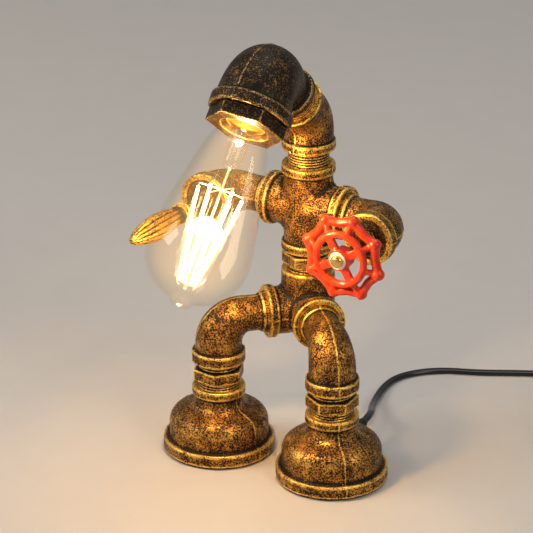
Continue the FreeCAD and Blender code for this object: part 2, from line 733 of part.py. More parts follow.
screw_shell = body("screw_shell", "holder")
turned(screw_shell, "shell", [
    ("shell_radius - shell_wall", "holder_floor"), ("shell_radius", "holder_floor"),
    ("shell_radius", "holder_floor + shell_length"),
    ("shell_radius - shell_wall", "holder_floor + shell_length")])

centre_contact = body("centre_contact", "holder")
block(centre_contact, "strip", "2 * contact_width", "contact_width", "contact_thickness",
      at("-contact_width", "-contact_width / 2", "holder_floor"))

screws = []
for side in SCREW_SIDES:
    place = at(f"{side} * holder_screw_circle", 0, "-bushing_lip_thickness")
    head = solid("Cylinder", "screw_head", f"{place} * " + at(0, 0, "-holder_screw_head_height"),
                 Radius="holder_screw_head", Height="holder_screw_head_height")
    shank = solid("Cylinder", "screw_shank", place, Radius="holder_screw_radius",
                  Height="holder_screw_length")
    screw = doc.addObject("Part::Fuse", "holder_screw")
    screw.Base = head
    screw.Tool = shank
    screws.append(screw)
group("holder_screws", "holder", screws)


# ---------------------------------------------------------------- smooth turned shapes
def smooth_edge(curve):
    """One smooth edge through (radius, height) points, on the XZ plane."""
    line = Part.BSplineCurve()
    line.interpolate([Vector(radius, 0, height) for radius, height in curve])
    return line.toShape()


def straight_edges(corners):
    """Straight edges from each (radius, height) corner to the next, on the XZ plane."""
    points = [Vector(radius, 0, height) for radius, height in corners]
    return [Part.makeLine(start, end) for start, end in zip(points, points[1:])]


def spun(label, frame_name, edges):
    """A sub-part turned about the Z axis of its frame from a closed outline of edges."""
    face = Part.Face(Part.Wire(Part.__sortEdges__(edges)))
    made = doc.addObject("Part::Feature", label)
    made.Label = label
    made.Shape = face.revolve(Vector(0, 0, 0), UP, 360)
    made.setExpression("Placement", formula(frame_name))
    NODES.append(made)
    return made


UP = Vector(0, 0, 1)

# ---------------------------------------------------------------- bulb
CAP_BASE = "tip_length + insulator_length"
CAP_TOP = f"{CAP_BASE} + cap_length"
CAP_INSIDE = "cap_radius - cap_thread - cap_wall"

bulb_contact = body("bulb_contact", "bulb")
rod(bulb_contact, "disc", "tip_radius", "tip_length")

bulb_insulator = body("bulb_insulator", "bulb")
cone(bulb_insulator, "glass_bead", "tip_radius + insulator_length", CAP_INSIDE, "insulator_length",
     at(0, 0, "tip_length"))

bulb_cap = body("bulb_cap", "bulb")
ridges = [(CAP_INSIDE, CAP_BASE)]
for turn in range(int(value("cap_length / cap_pitch"))):
    low = f"{CAP_BASE} + {turn} * cap_pitch"
    ridges += [("cap_radius - cap_thread", low), ("cap_radius", f"{low} + cap_pitch / 2")]
ridges += [("cap_radius - cap_thread", f"{low} + cap_pitch"), ("cap_radius - cap_thread", CAP_TOP),
           (CAP_INSIDE, CAP_TOP)]
turned(bulb_cap, "sleeve", ridges)

# The glass is drawn in shares of its length above the cap and of its greatest radius.
GLASS_CURVE = [(0.0, None), (0.022, 0.445), (0.05, 0.52), (0.122, 0.594), (0.275, 0.721), (0.525, 0.909),
               (0.675, 0.997), (0.79, 0.964), (0.858, 0.842), (0.917, 0.606), (0.946, 0.364),
               (0.958, 0.245), (0.975, 0.22), (0.994, 0.136)]
neck = value(f"{CAP_INSIDE} - thread_clearance")
wall = value("glass_wall")
glass_top = value(CAP_TOP)
glass_length = value("glass_length")
outer = [(neck if share is None else share * value("bulb_radius"), glass_top + along * glass_length)
         for along, share in GLASS_CURVE]
outer.append((0, glass_top + glass_length))
inner = [(max(radius - wall, 0), height) for radius, height in outer[:-4]]
inner.append((0, inner[-1][1] + wall))
foot_height = glass_top - value("glass_overlap")
spun("bulb_glass", "bulb", [
    smooth_edge(outer), smooth_edge(inner)] + straight_edges([
        outer[0], (neck, foot_height), (neck - wall, foot_height), inner[0]]) + straight_edges([
            outer[-1], inner[-1]]))

bulb_stem = body("bulb_stem", "bulb")
STEM_BASE = f"{CAP_TOP} - glass_overlap"
STEM_TOP = f"{STEM_BASE} + stem_length"
cone(bulb_stem, "flare", f"{CAP_INSIDE} - glass_wall - 2 * thread_clearance", "stem_radius", "cap_length / 2",
     at(0, 0, STEM_BASE))
rod(bulb_stem, "column", "stem_radius", "stem_length", at(0, 0, STEM_BASE))
rod(bulb_stem, "pin", "pin_radius", "pin_length", at(0, 0, STEM_TOP))

FILAMENTS = 6
FILAMENT_TOP = f"{CAP_TOP} + filament_height"


def around(number_of, index, height):
    """A place on the bulb's axis at a height, turned to one of several even directions."""
    return at(0, 0, height, "z", 360 * index / number_of)


lean = "asin((filament_circle - filament_foot_circle) / filament_length)"
group("bulb_filaments", "bulb", [
    solid("Cylinder", "filament", f"{around(FILAMENTS, index, FILAMENT_TOP)} * "
          + at("filament_circle", 0, 0, "y", f"-{lean}"), Radius="filament_radius",
          Height="filament_length")
    for index in range(FILAMENTS)])
FILAMENT_FOOT = f"{FILAMENT_TOP} + filament_length * cos({lean})"
# A leaning filament's end reaches past its middle, and its wire lies clear of that.
wire_line = f"(wire_radius + filament_radius * sin({lean}) + filament_gap)"
arms = []
for index in range(FILAMENTS):
    top = around(FILAMENTS, index, FILAMENT_TOP)
    foot = around(FILAMENTS, index, FILAMENT_FOOT)
    arms += [
        solid("Cylinder", "upper_arm", f"{top} * "
              + at("pin_radius + wire_radius", 0, f"-{wire_line}", "y", 90),
              Radius="wire_radius", Height="filament_circle - pin_radius"),
        solid("Cylinder", "lower_arm", f"{foot} * " + at("pin_radius + wire_radius", 0, wire_line, "y", 90),
              Radius="wire_radius", Height="filament_foot_circle - pin_radius"),
        solid("Cylinder", "hook", f"{foot} * " + at("filament_foot_circle", 0, f"{wire_line} + wire_radius"),
              Radius="wire_radius", Height="hook_length")]
group("bulb_supports", "bulb", arms)


# ---------------------------------------------------------------- hands
def hand_stopper(label, frame_name, hole):
    """A round plug screwed into an arm's mouth, with a hole through its middle."""
    stopper = body(label, frame_name)
    rod(stopper, "disc", "thread_radius", "stopper_depth", at(0, 0, "-stopper_recess - stopper_depth"))
    rod(stopper, "hole", hole, "stopper_depth", at(0, 0, "-stopper_recess - stopper_depth"), cut=True)


hand_stopper("right_hand_plug", "right_hand", "dimmer_neck_radius + thread_clearance")
hand_stopper("left_hand_plug", "left_hand", "finial_rod_radius + thread_clearance")

dimmer = body("dimmer_body", "right_hand")
DIMMER_FRONT = "-stopper_recess - stopper_depth"
rod(dimmer, "case", "dimmer_radius", "dimmer_length", at(0, 0, f"{DIMMER_FRONT} - dimmer_length"))
rod(dimmer, "neck", "dimmer_neck_radius", "dimmer_neck_length", at(0, 0, DIMMER_FRONT))
rod(dimmer, "bearing", "spindle_radius + spindle_clearance", "dimmer_neck_length + dimmer_length / 2",
    at(0, 0, f"{DIMMER_FRONT} - dimmer_length / 2"), cut=True)

nut = body("dimmer_nut", "right_hand")
hexagon(nut, "hexagon", "nut_radius", "nut_length", at(0, 0, "-stopper_recess"))
rod(nut, "hole", "dimmer_neck_radius + thread_clearance", "nut_length", at(0, 0, "-stopper_recess"), cut=True)

# ---------------------------------------------------------------- handwheel
WHEEL_CORNERS = 8
WHEEL_SPOKES = 4
HUB_BACK = "wheel_dish - wheel_hub_length + wheel_hub_front"
HUB_FRONT = "wheel_dish + wheel_hub_front"

spindle = body("dimmer_spindle", "wheel")
SPINDLE_BACK = f"{DIMMER_FRONT} - dimmer_length / 2 + spindle_end_gap - wheel_distance"
rod(spindle, "shaft", "spindle_radius", f"{HUB_FRONT} - hub_inset - ({SPINDLE_BACK})", at(0, 0, SPINDLE_BACK))
rod(spindle, "screw_hole", "wheel_screw_shank + thread_clearance", "wheel_screw_depth",
    at(0, 0, f"{HUB_FRONT} - wheel_screw_depth"), cut=True)

half_step = 180 / WHEEL_CORNERS
corner_chord = f"2 * wheel_radius * sin({half_step})"
wheel_parts = [
    solid("Torus", "ring", at(0, 0, "wheel_dish"), Radius1="wheel_ring_radius", Radius2="wheel_ring_section"),
    solid("Cylinder", "hub", at(0, 0, HUB_BACK), Radius="wheel_hub_radius", Height="wheel_hub_length")]
for corner in range(WHEEL_CORNERS):
    way = at(0, 0, 0, "z", 360 * corner / WHEEL_CORNERS)
    wheel_parts.append(solid("Sphere", "knob", f"{way} * " + at("wheel_radius", 0, 0),
                             Radius="wheel_knob_radius"))
    side = f"{way} * " + at("wheel_radius", 0, 0, "z", half_step) + " * " + at(0, 0, 0, "x", -90)
    wheel_parts.append(solid("Cylinder", "rim_side", side, Radius="wheel_rim_radius", Height=corner_chord))
    arm = f"{way} * " + at("wheel_radius", 0, 0, "y", "wheel_arm_rise - 90")
    wheel_parts.append(solid("Cylinder", "arm", arm, Radius="wheel_arm_radius",
                             Height="(wheel_radius - wheel_ring_radius) / cos(wheel_arm_rise)"))
for spoke in range(WHEEL_SPOKES):
    way = at(0, 0, 0, "z", 360 * spoke / WHEEL_SPOKES)
    corner = at("wheel_hub_radius / 2", "-wheel_spoke_width / 2", "wheel_dish - wheel_spoke_thickness / 2")
    wheel_parts.append(solid("Box", "spoke", f"{way} * {corner}",
                             Length="wheel_ring_radius - wheel_hub_radius / 2",
                             Width="wheel_spoke_width", Height="wheel_spoke_thickness"))
casting = doc.addObject("Part::MultiFuse", "wheel_casting")
casting.Shapes = wheel_parts
hole = solid("Cylinder", "hub_hole", at(0, 0, HUB_BACK), Radius="spindle_radius + hub_fit",
             Height="wheel_hub_length")
handwheel = doc.addObject("Part::Cut", "handwheel")
handwheel.Label = "handwheel"
handwheel.Base = casting
handwheel.Tool = hole
handwheel.setExpression("Placement", formula("wheel"))
NODES.append(handwheel)

washer = body("wheel_washer", "wheel")
rod(washer, "disc", "washer_radius", "washer_thickness", at(0, 0, HUB_FRONT))
rod(washer, "hole", "wheel_screw_shank + thread_clearance", "washer_thickness", at(0, 0, HUB_FRONT), cut=True)

wheel_screw = body("wheel_screw", "wheel")
SCREW_SEAT = f"{HUB_FRONT} + washer_thickness"
rod(wheel_screw, "head", "wheel_screw_radius", "wheel_screw_length", at(0, 0, SCREW_SEAT))
rod(wheel_screw, "shank", "wheel_screw_shank", "wheel_screw_depth",
    at(0, 0, f"{SCREW_SEAT} - wheel_screw_depth"))
round_edges(wheel_screw, "dome", "wheel_screw_length / 2", [
    ("wheel_screw_radius", f"{SCREW_SEAT} + wheel_screw_length")])

# ---------------------------------------------------------------- finial in the left hand
rod_end = value("finial_rod_length")
rod_radius = value("finial_rod_radius")
ring = value("finial_ring_radius")
ring_length = value("finial_ring_length")
second_ring = rod_end + ring_length + value("finial_ring_gap")
belly_start = second_ring + ring_length
finial_neck = value("finial_neck_radius")
finial_end = belly_start + value("finial_length")
FINIAL_CURVE = [(0.0, "finial_neck_radius", 1.0), (0.2, "finial_belly_radius", 0.62),
                (0.48, "finial_belly_radius", 1.0), (0.77, "finial_belly_radius", 0.7),
                (1.0, "finial_tip_radius", 1.0)]
belly = [(share * value(size), belly_start + along * value("finial_length"))
         for along, size, share in FINIAL_CURVE]
spun("hand_finial", "left_hand", straight_edges([
    (0, finial_end), (0, value(DIMMER_FRONT)), (rod_radius, value(DIMMER_FRONT)), (rod_radius, rod_end),
    (ring, rod_end), (ring, rod_end + ring_length), (finial_neck, rod_end + ring_length),
    (finial_neck, second_ring), (ring, second_ring), (ring, belly_start), belly[0]])
     + [smooth_edge(belly)] + straight_edges([belly[-1], (0, finial_end)]))


# ---------------------------------------------------------------- leads and cord
def spot(frame_name, x=0, y=0, z=0):
    """The point of the lamp at some coordinates of a frame."""
    place = places.getPropertyByName(frame_name)
    return place.multVec(Vector(value(x), value(y), value(z)))


ARC_SHARE = 0.45


def tube_along(label, corners, radius, bends=None, cutter=None):
    """A round tube along straight runs joined by tangent arcs, without what lies in a cutter."""
    runs = [end - start for start, end in zip(corners, corners[1:])]
    edges = []
    radii = []
    here = corners[0]
    for index, corner in enumerate(corners[1:-1]):
        before, after = runs[index], runs[index + 1]
        half_turn = before.getAngle(after) / 2
        if bends:
            bend = bends[index]
        else:
            bend = ARC_SHARE * min(before.Length, after.Length) / math.tan(half_turn)
        reach = bend * math.tan(half_turn)
        ahead = Vector(after).normalize()
        behind = Vector(before).normalize()
        start, end = corner - behind * reach, corner + ahead * reach
        inward = (ahead - behind).normalize()
        middle = corner + inward * (bend / math.cos(half_turn) - bend)
        edges += [Part.LineSegment(here, start).toShape(), Part.Arc(start, middle, end).toShape()]
        radii.append(bend)
        here = end
    edges.append(Part.LineSegment(here, corners[-1]).toShape())
    path = Part.Wire(edges)
    section = Part.Wire(Part.makeCircle(radius, corners[0], runs[0]))
    shape = path.makePipeShell([section], True, False)
    expected = math.pi * radius ** 2 * path.Length
    print(f"{label}: length {path.Length:.0f}, volume {shape.Volume / expected:.3f} of section x length,",
          "radii", [round(bend) for bend in radii])
    made = doc.addObject("Part::Feature", label)
    made.Label = label
    made.Shape = shape.cut(cutter) if cutter else shape
    NODES.append(made)
    return made


LEAD = value("lead_radius")
lead_bend = value("lead_bend")
elbow_bend = value("elbow_bend")
GROMMET_INSIDE = "-foot_wall - grommet_seat - grommet_flange_length"
entry = spot("cord_exit", z=GROMMET_INSIDE)
tube_along("lower_lead", [
    entry, spot("right_leg", z="exit_height"), spot("right_leg_elbow_frame"), spot("hips"),
    spot("chest", z="-connector_length / 2")], LEAD, [lead_bend, elbow_bend, lead_bend])

connector = body("wire_connector", "chest")
block(connector, "block", "connector_width", "connector_width", "connector_length",
      at("-connector_width / 2", "-connector_width / 2", "-connector_length / 2"))

chest_leads = [
    solid("Cylinder", "neck_branch", at(0, 0, "connector_length / 2"), Radius="lead_radius",
          Height="chest_half_height + neck_gap - connector_length / 2"),
    solid("Cylinder", "arm_branch", at("connector_width / 2", 0, 0, "y", 90), Radius="lead_radius",
          Height="chest_reach - connector_width / 2")]
group("chest_leads", "chest", chest_leads)

tube_along("neck_lead", [
    spot("neck", z="lead_gap - neck_reach"), spot("neck"), spot("neck_slope", z="head_gap")],
    LEAD, [value("neck_bend")])
tube_along("head_lead", [
    spot("head", z="lead_gap - head_inlet_reach"), spot("head"), spot("holder")], LEAD, [lead_bend])
tube_along("dimmer_lead", [
    spot("right_arm", x="elbow_run - lead_gap"), spot("right_arm"),
    spot("right_hand", z=f"{DIMMER_FRONT} - dimmer_length")], LEAD, [lead_bend])

grommet = body("cord_grommet", "cord_exit")
turned(grommet, "gland", [
    ("0", GROMMET_INSIDE), ("grommet_flange", GROMMET_INSIDE),
    ("grommet_flange", "-foot_wall - grommet_seat"),
    ("grommet_radius - thread_clearance", "-foot_wall - grommet_seat"),
    ("grommet_radius - thread_clearance", "0"), ("relief_radius", "grommet_seat"),
    ("relief_tip_radius", "relief_length"), ("0", "relief_length")])

# The mains cord comes out of the relief, drops to the table and runs to its coil.
coil = body("cord_coil", "coil")
inner_edge = "coil_radius - coil_band / 2"
outer_edge = "coil_radius + coil_band / 2"
turned(coil, "turns", [
    (inner_edge, "0"), (outer_edge, "0"), (outer_edge, "coil_height"), (inner_edge, "coil_height")])
round_edges(coil, "rounding", "coil_rounding", [
    (outer_edge, "coil_height"), (inner_edge, "coil_height"), (outer_edge, "0"), (inner_edge, "0")])


def across_turns(owner, name, inset, cut=False):
    """A block across the coil's turns where the tie holds them, some way in from their outside."""
    block(owner, name, f"coil_band - 2 * ({inset})", "tie_width", f"coil_height - 2 * ({inset})",
          at(f"{inset} - coil_radius - coil_band / 2", "-tie_width / 2", inset), cut)


across_turns(coil, "notch", "-tie_squeeze", cut=True)
across_turns(coil, "squeezed", "tie_squeeze")
tie = body("cord_tie", "coil")
across_turns(tie, "strap", "tie_squeeze - tie_thickness")
across_turns(tie, "inside", "tie_squeeze", cut=True)
doc.recompute()

CORD = value("cord_radius")
CORD_ROUTE = [(19.6, 116.5, 8.5), (10.6, 138.6, 4.0), (5.0, 160.3, 2.6), (5.4, 177.4, 2.6),
              (14.2, 191.9, 2.6), (28.2, 203.2, 2.6), (49.0, 210.9, 2.6), (73.5, 224.8, 2.6),
              (97.0, 236.2, 2.6)]
arrival = math.radians(120)
coil_middle = Vector(value("coil_x"), value("coil_y"), CORD)
last = coil_middle + Vector(math.cos(arrival), math.sin(arrival), 0) * value("plug_line")
route = [spot("cord_exit", z="relief_length"), spot("cord_exit", z="relief_length + exit_run")]
route += [Vector(*point) for point in CORD_ROUTE] + [last]
tube_along("cord_tube", route, CORD, cutter=coil.Shape)

tail = [spot("coil", "plug_line", 0, "plug_height / 2"), spot("plug")]
tube_along("cord_tail", tail, CORD, cutter=coil.Shape)

plug = body("plug_body", "plug")
PLUG_BASE = "plug_relief_length"
cone(plug, "relief", "relief_tip_radius", "plug_relief_radius", "plug_relief_length")
block(plug, "grip", "plug_width", "plug_height", "plug_length",
      at("-plug_width / 2", "-plug_height / 2", PLUG_BASE))
group("plug_blades", "plug", [
    solid("Box", "blade", at(f"{side} * blade_spacing / 2 - blade_thickness / 2", "-blade_width / 2",
                             f"{PLUG_BASE} + plug_length"),
          Length="blade_thickness", Width="blade_width", Height="blade_length")
    for side in SCREW_SIDES])


# ---------------------------------------------------------------- checks and files
doc.recompute()
for made in doc.Objects:
    if {"Invalid", "Error"} & set(made.State):
        raise SystemExit(f"{made.Label} failed: {made.State}")
for node in NODES:
    if node.Shape.isNull() or not node.Shape.isValid():
        raise SystemExit(f"{node.Label} has no valid shape")
os.makedirs("parts", exist_ok=True)
for node in NODES:
    node.Shape.exportStep(f"parts/{node.Label}.step")
    print(node.Label, len(node.Shape.Solids), round(node.Shape.Volume, 1))
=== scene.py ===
import math

import bpy
import numpy as np
from mathutils import Matrix, Vector


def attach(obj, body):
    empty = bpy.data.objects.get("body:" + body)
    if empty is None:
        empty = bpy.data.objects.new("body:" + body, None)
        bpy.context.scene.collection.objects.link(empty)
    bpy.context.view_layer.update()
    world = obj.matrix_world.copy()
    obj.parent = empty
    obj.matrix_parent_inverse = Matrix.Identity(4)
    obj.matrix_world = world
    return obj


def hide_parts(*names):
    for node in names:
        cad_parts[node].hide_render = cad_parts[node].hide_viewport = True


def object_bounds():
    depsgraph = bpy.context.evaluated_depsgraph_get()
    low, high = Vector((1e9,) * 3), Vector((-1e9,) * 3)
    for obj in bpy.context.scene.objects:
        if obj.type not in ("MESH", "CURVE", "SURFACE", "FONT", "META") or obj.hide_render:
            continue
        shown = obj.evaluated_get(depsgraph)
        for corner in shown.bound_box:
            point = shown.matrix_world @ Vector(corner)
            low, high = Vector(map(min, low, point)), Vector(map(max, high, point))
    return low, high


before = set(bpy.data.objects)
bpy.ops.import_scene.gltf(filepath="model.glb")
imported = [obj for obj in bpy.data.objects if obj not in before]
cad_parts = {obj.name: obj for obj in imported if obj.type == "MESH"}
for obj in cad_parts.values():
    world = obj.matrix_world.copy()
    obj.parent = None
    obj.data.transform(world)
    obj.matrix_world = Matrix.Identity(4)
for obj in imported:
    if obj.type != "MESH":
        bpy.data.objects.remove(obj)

cad_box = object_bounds()

# ------------------------------------------------------------ camera
# The camera stands a little over two metres off, to the right of the figure's front and
# above it, and looks at it through a long lens.
eye = Vector((0.99209, -1.67388, 1.01481))
target = Vector((-0.03548, 0.0752, 0.1124))
facing = (target - eye).to_track_quat("-Z", "Y").to_euler()
bpy.ops.object.camera_add(location=eye, rotation=facing)
camera = bpy.context.object
camera.data.sensor_width = 36
camera.data.lens = 235.55
camera.data.clip_end = 20
bpy.context.scene.camera = camera
bpy.context.scene.view_settings.view_transform = "Standard"


# ------------------------------------------------------------ table and light
# The lamp stands on a plain pale table top, in soft studio light from the left, the right
# and above. The table's finish is mixed from procedural nodes, as every finish here is.
class Shade:
    """One socket of a finish. Sums and products of shades add the nodes that work them out."""

    def __init__(self, finish, socket):
        self.finish, self.socket = finish, socket

    def maths(self, operation, *values):
        return self.finish.add("Math", {"operation": operation}, dict(enumerate(values)))

    def __add__(self, other):
        return self.maths("ADD", self, other)

    def __radd__(self, other):
        return self.maths("ADD", other, self)

    def __sub__(self, other):
        return self.maths("SUBTRACT", self, other)

    def __rsub__(self, other):
        return self.maths("SUBTRACT", other, self)

    def __mul__(self, other):
        return self.maths("MULTIPLY", self, other)

    def __rmul__(self, other):
        return self.maths("MULTIPLY", other, self)

    def __pow__(self, other):
        return self.maths("POWER", self, other)

    def step(self, low, high):
        """A smooth rise from 0 at one value to 1 at another."""
        return self.finish.add("MapRange", {"interpolation_type": "SMOOTHSTEP"},
                               {"Value": self, "From Min": low, "From Max": high}, "Result")


class Finish:
    """A material with a Principled surface, whose nodes are added by name."""

    def __init__(self, name):
        self.material = bpy.data.materials.new(name)
        self.material.use_nodes = True
        self.tree = self.material.node_tree
        self.surface = self.tree.nodes["Principled BSDF"]
        self.place = self.add("TexCoord", {}, {}, "Object")

    def add(self, kind, settings, sockets, output=0):
        """A node with its settings made first, then the values or links of its sockets."""
        node = self.tree.nodes.new("ShaderNode" + kind)
        for name, setting in settings.items():
            setattr(node, name, setting)
        self.fill(node, sockets)
        return Shade(self, node.outputs[output])

    def fill(self, node, sockets):
        """Gives each named socket of a node its value or its link."""
        for name, given in sockets.items():
            if isinstance(given, Shade):
                self.tree.links.new(given.socket, node.inputs[name])
            else:
                node.inputs[name].default_value = given

    def noise(self, scale, detail=2.0, roughness=0.5):
        """Cloudy noise from 0 to 1, with a scale in waves per metre."""
        return self.add("TexNoise", {}, {"Vector": self.place, "Scale": scale, "Detail": detail,
                                         "Roughness": roughness}, "Fac")

    def mix(self, share, low, high):
        """A colour between two colours."""
        low, high = [c if isinstance(c, Shade) else (*c, 1) for c in (low, high)]
        # A Mix node takes its colours in inputs 6 and 7 and gives the result in output 2.
        made = self.add("Mix", {"data_type": "RGBA"}, {"Factor": share}, 2)
        self.fill(made.socket.node, {6: low, 7: high})
        return made

    def bump(self, height, depth):
        """A normal that follows a height from 0 to 1, with a depth in metres."""
        return self.add("Bump", {}, {"Height": height, "Distance": depth, "Strength": 1.0})

    def paint(self, **sockets):
        """Fills the Principled surface, with its sockets' names in Python's spelling."""
        for name, given in sockets.items():
            filling = (*given, 1) if isinstance(given, tuple) else given
            self.fill(self.surface, {name.replace("_", " "): filling})
        return self.material


bpy.ops.mesh.primitive_plane_add(size=6, location=(0, 0, 0))
table_top = bpy.context.object
table_top.name = "table_top"
table = Finish("table top")
table_top.data.materials.append(table.paint(
    Base_Color=table.mix(table.noise(40, 3), (0.50, 0.475, 0.45), (0.53, 0.505, 0.48)),
    Roughness=0.6))

world = bpy.data.worlds.new("studio")
world.use_nodes = True
world.node_tree.nodes["Background"].inputs["Color"].default_value = (0.80, 0.78, 0.76, 1)
world.node_tree.nodes["Background"].inputs["Strength"].default_value = 0.30
bpy.context.scene.world = world

LAMP_MIDDLE = Vector((0, 0, 0.13))
for name, place, size, power, color in (
        ("left_softbox", (-1.3, -0.9, 1.3), 0.9, 19, (1.0, 0.95, 0.88)),
        ("right_softbox", (1.5, -0.4, 1.1), 0.8, 9, (1.0, 0.97, 0.94)),
        ("top_softbox", (0.0, 0.5, 1.8), 1.0, 10, (1.0, 0.97, 0.93))):
    bpy.ops.object.light_add(type="AREA", location=place)
    softbox = bpy.context.object
    softbox.name = name
    softbox.data.size, softbox.data.energy, softbox.data.color = size, power, color
    softbox.rotation_euler = (LAMP_MIDDLE - Vector(place)).to_track_quat("-Z", "Y").to_euler()


# ------------------------------------------------------------ mains cord
# A flat twin cord of two glossy black sheathed strands, moulded in one. It comes out of
# the right foot, drops to the table, and its spare length is wound into a tied coil.
def millimetres(*points):
    """Points given in millimetres, as vectors in metres."""
    return [Vector(point) / 1000 for point in points]


def smooth_line(name, points):
    """A curve whose one spline is smooth and is steered by points."""
    line = bpy.data.curves.new(name, "CURVE")
    line.dimensions = "3D"
    spline = line.splines.new("NURBS")
    spline.points.add(len(points) - 1)
    for steer, point in zip(spline.points, points):
        steer.co = (*point, 1)
    spline.order_u = 3
    spline.use_endpoint_u = True
    spline.resolution_u = 6
    made = bpy.data.objects.new(name, line)
    bpy.context.scene.collection.objects.link(made)
    return made


def choose(*pieces):
    """Selects these pieces alone, with the first one active."""
    bpy.ops.object.select_all(action="DESELECT")
    for piece in pieces:
        piece.select_set(True)
    bpy.context.view_layer.objects.active = pieces[0]


route = millimetres(
    (30.97, 85.15, 14.8), (29.72, 97.09, 14.6), (19.6, 116.5, 8.5), (10.6, 138.6, 3.4),
    (5.0, 160.3, 1.7), (5.4, 177.4, 1.7), (14.2, 191.9, 1.7), (28.2, 203.2, 1.7),
    (49.0, 210.9, 1.7), (73.5, 224.8, 1.7), (97.0, 236.2, 1.7))
# Each of the coil's eight and a third turns keeps one of these radii and heights, and in
# its last three tenths passes to the next one's.
TURNS = [(34.8, 1.7), (29.7, 1.7), (24.6, 1.8), (24.7, 5.0), (29.9, 5.0), (34.9, 5.0),
         (24.9, 8.4), (30.0, 8.4), (33.2, 8.4), (33.0, 8.4)]
STEPS = 16
START_ANGLE, TIE_ANGLE, TIE_WIDTH, TIE_PULL = 120, 180, 22, 0.16
MEAN_RADIUS, MEAN_HEIGHT = 30, 5.2
coil_middle = Vector((0.137, 0.2222, 0))
for step in range(STEPS * 25 // 3 + 1):
    turn, share = divmod(step / STEPS, 1)
    rise = max(0, share - 0.7) / 0.3
    rise = rise * rise * (3 - 2 * rise)
    (radius, height), (next_radius, next_height) = TURNS[int(turn)], TURNS[int(turn) + 1]
    radius += (next_radius - radius) * rise
    height += (next_height - height) * rise
    angle = math.radians(START_ANGLE - 360 * step / STEPS)
    # The tie, on the far side from the plug, draws the turns together.
    from_tie = (math.degrees(angle) % 360 - TIE_ANGLE) / TIE_WIDTH
    drawn = 1 - TIE_PULL * math.exp(-from_tie ** 2)
    radius = MEAN_RADIUS + (radius - MEAN_RADIUS) * drawn
    height = MEAN_HEIGHT + (height - MEAN_HEIGHT) * drawn
    point = Vector((radius * math.cos(angle), radius * math.sin(angle), height))
    route.append(coil_middle + point / 1000)
route += millimetres(
    (170.0, 212.0, 8.2), (170.0, 199.0, 7.2), (170.0, 187.0, 6.6), (170.0, 176.2, 6.5))

cord = smooth_line("mains_cord", route)
cord_path = [vertex.co.copy() for vertex in bpy.data.meshes.new_from_object(cord).vertices]
# The section is two round strands side by side, each open towards the other.
STRAND, APART = 0.00158, 0.00100
strands = bpy.data.curves.new("strands", "CURVE")
outline = strands.splines.new("POLY")
corners = [(side * (APART + STRAND * math.cos(turn)), side * STRAND * math.sin(turn))
           for side in (1, -1) for turn in np.linspace(-2.1, 2.1, 11)]
outline.points.add(len(corners) - 1)
for steer, (x, y) in zip(outline.points, corners):
    steer.co = (x, y, 0, 1)
outline.use_cyclic_u = True
section = bpy.data.objects.new("strands", strands)
bpy.context.scene.collection.objects.link(section)
cord.data.bevel_mode = "OBJECT"
cord.data.bevel_object = section
cord.data.use_fill_caps = True
cord.data.twist_mode = "Z_UP"
choose(cord)
bpy.ops.object.convert(target="MESH")
bpy.data.objects.remove(section)
bpy.ops.object.mode_set(mode="EDIT")
bpy.ops.mesh.select_all(action="SELECT")
bpy.ops.mesh.normals_make_consistent(inside=False)
bpy.ops.object.mode_set(mode="OBJECT")
bpy.ops.object.shade_smooth_by_angle(angle=math.radians(50))
sheath = Finish("black cord sheath")
cord.data.materials.append(sheath.paint(
    Base_Color=(0.005, 0.005, 0.006), Roughness=0.16 + 0.12 * sheath.noise(300, 3),
    Normal=sheath.bump(sheath.noise(900, 3), depth=0.00001)))

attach(cord, "stand")
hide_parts("cord_tube", "cord_coil", "cord_tail")


# ------------------------------------------------------------ castings
# The feet, legs, hips, chest, arms, neck and head are malleable iron, cast in two halves
# that leave a thin line where they met. Over black paint they are rubbed with antique gold,
# which takes best on what stands proud and stays thin in the hollows.
def skin(name, node, grain, softening):
    """A node's shape as one closed skin of small even squares, with its edges softened."""
    piece = bpy.data.objects.new(name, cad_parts[node].data.copy())
    bpy.context.scene.collection.objects.link(piece)
    piece.data.materials.clear()
    choose(piece)
    bpy.ops.object.mode_set(mode="EDIT")
    bpy.ops.mesh.select_all(action="SELECT")
    bpy.ops.mesh.remove_doubles(threshold=0.00001)
    bpy.ops.object.mode_set(mode="OBJECT")
    even_out(piece, grain, softening)
    return piece


def even_out(piece, grain, softening):
    """Remakes a piece as even squares of a size, then softens its edges."""
    choose(piece)
    remesh = piece.modifiers.new("squares", "REMESH")
    remesh.mode = "VOXEL"
    remesh.voxel_size = grain
    soften = piece.modifiers.new("soften", "SMOOTH")
    soften.factor = 0.5
    soften.iterations = softening
    bpy.ops.object.modifier_apply(modifier="squares")
    bpy.ops.object.modifier_apply(modifier="soften")
    bpy.ops.object.shade_smooth()


def numbers_of(piece, what):
    """The places or the normals of a piece's points, as rows of three."""
    numbers = np.empty(len(piece.data.vertices) * 3)
    piece.data.vertices.foreach_get(what, numbers)
    return numbers.reshape(-1, 3)


def edge_ends(piece):
    """The numbers of the first and of the last point of each edge of a piece."""
    ends = np.empty(len(piece.data.edges) * 2, dtype=np.int64)
    piece.data.edges.foreach_get("vertices", ends)
    return ends[::2], ends[1::2]


def averager(piece):
    """A function that gives each point of a piece the mean of the values beside it."""
    count = len(piece.data.vertices)
    first, last = edge_ends(piece)
    beside = np.bincount(first, minlength=count) + np.bincount(last, minlength=count)
    beside = np.maximum(beside, 1)

    def about(values):
        columns = values.reshape(count, -1).T
        sums = [np.bincount(first, column[last], count)
                + np.bincount(last, column[first], count) for column in columns]
        return (np.stack(sums, axis=1) / beside[:, None]).reshape(values.shape)

    return about


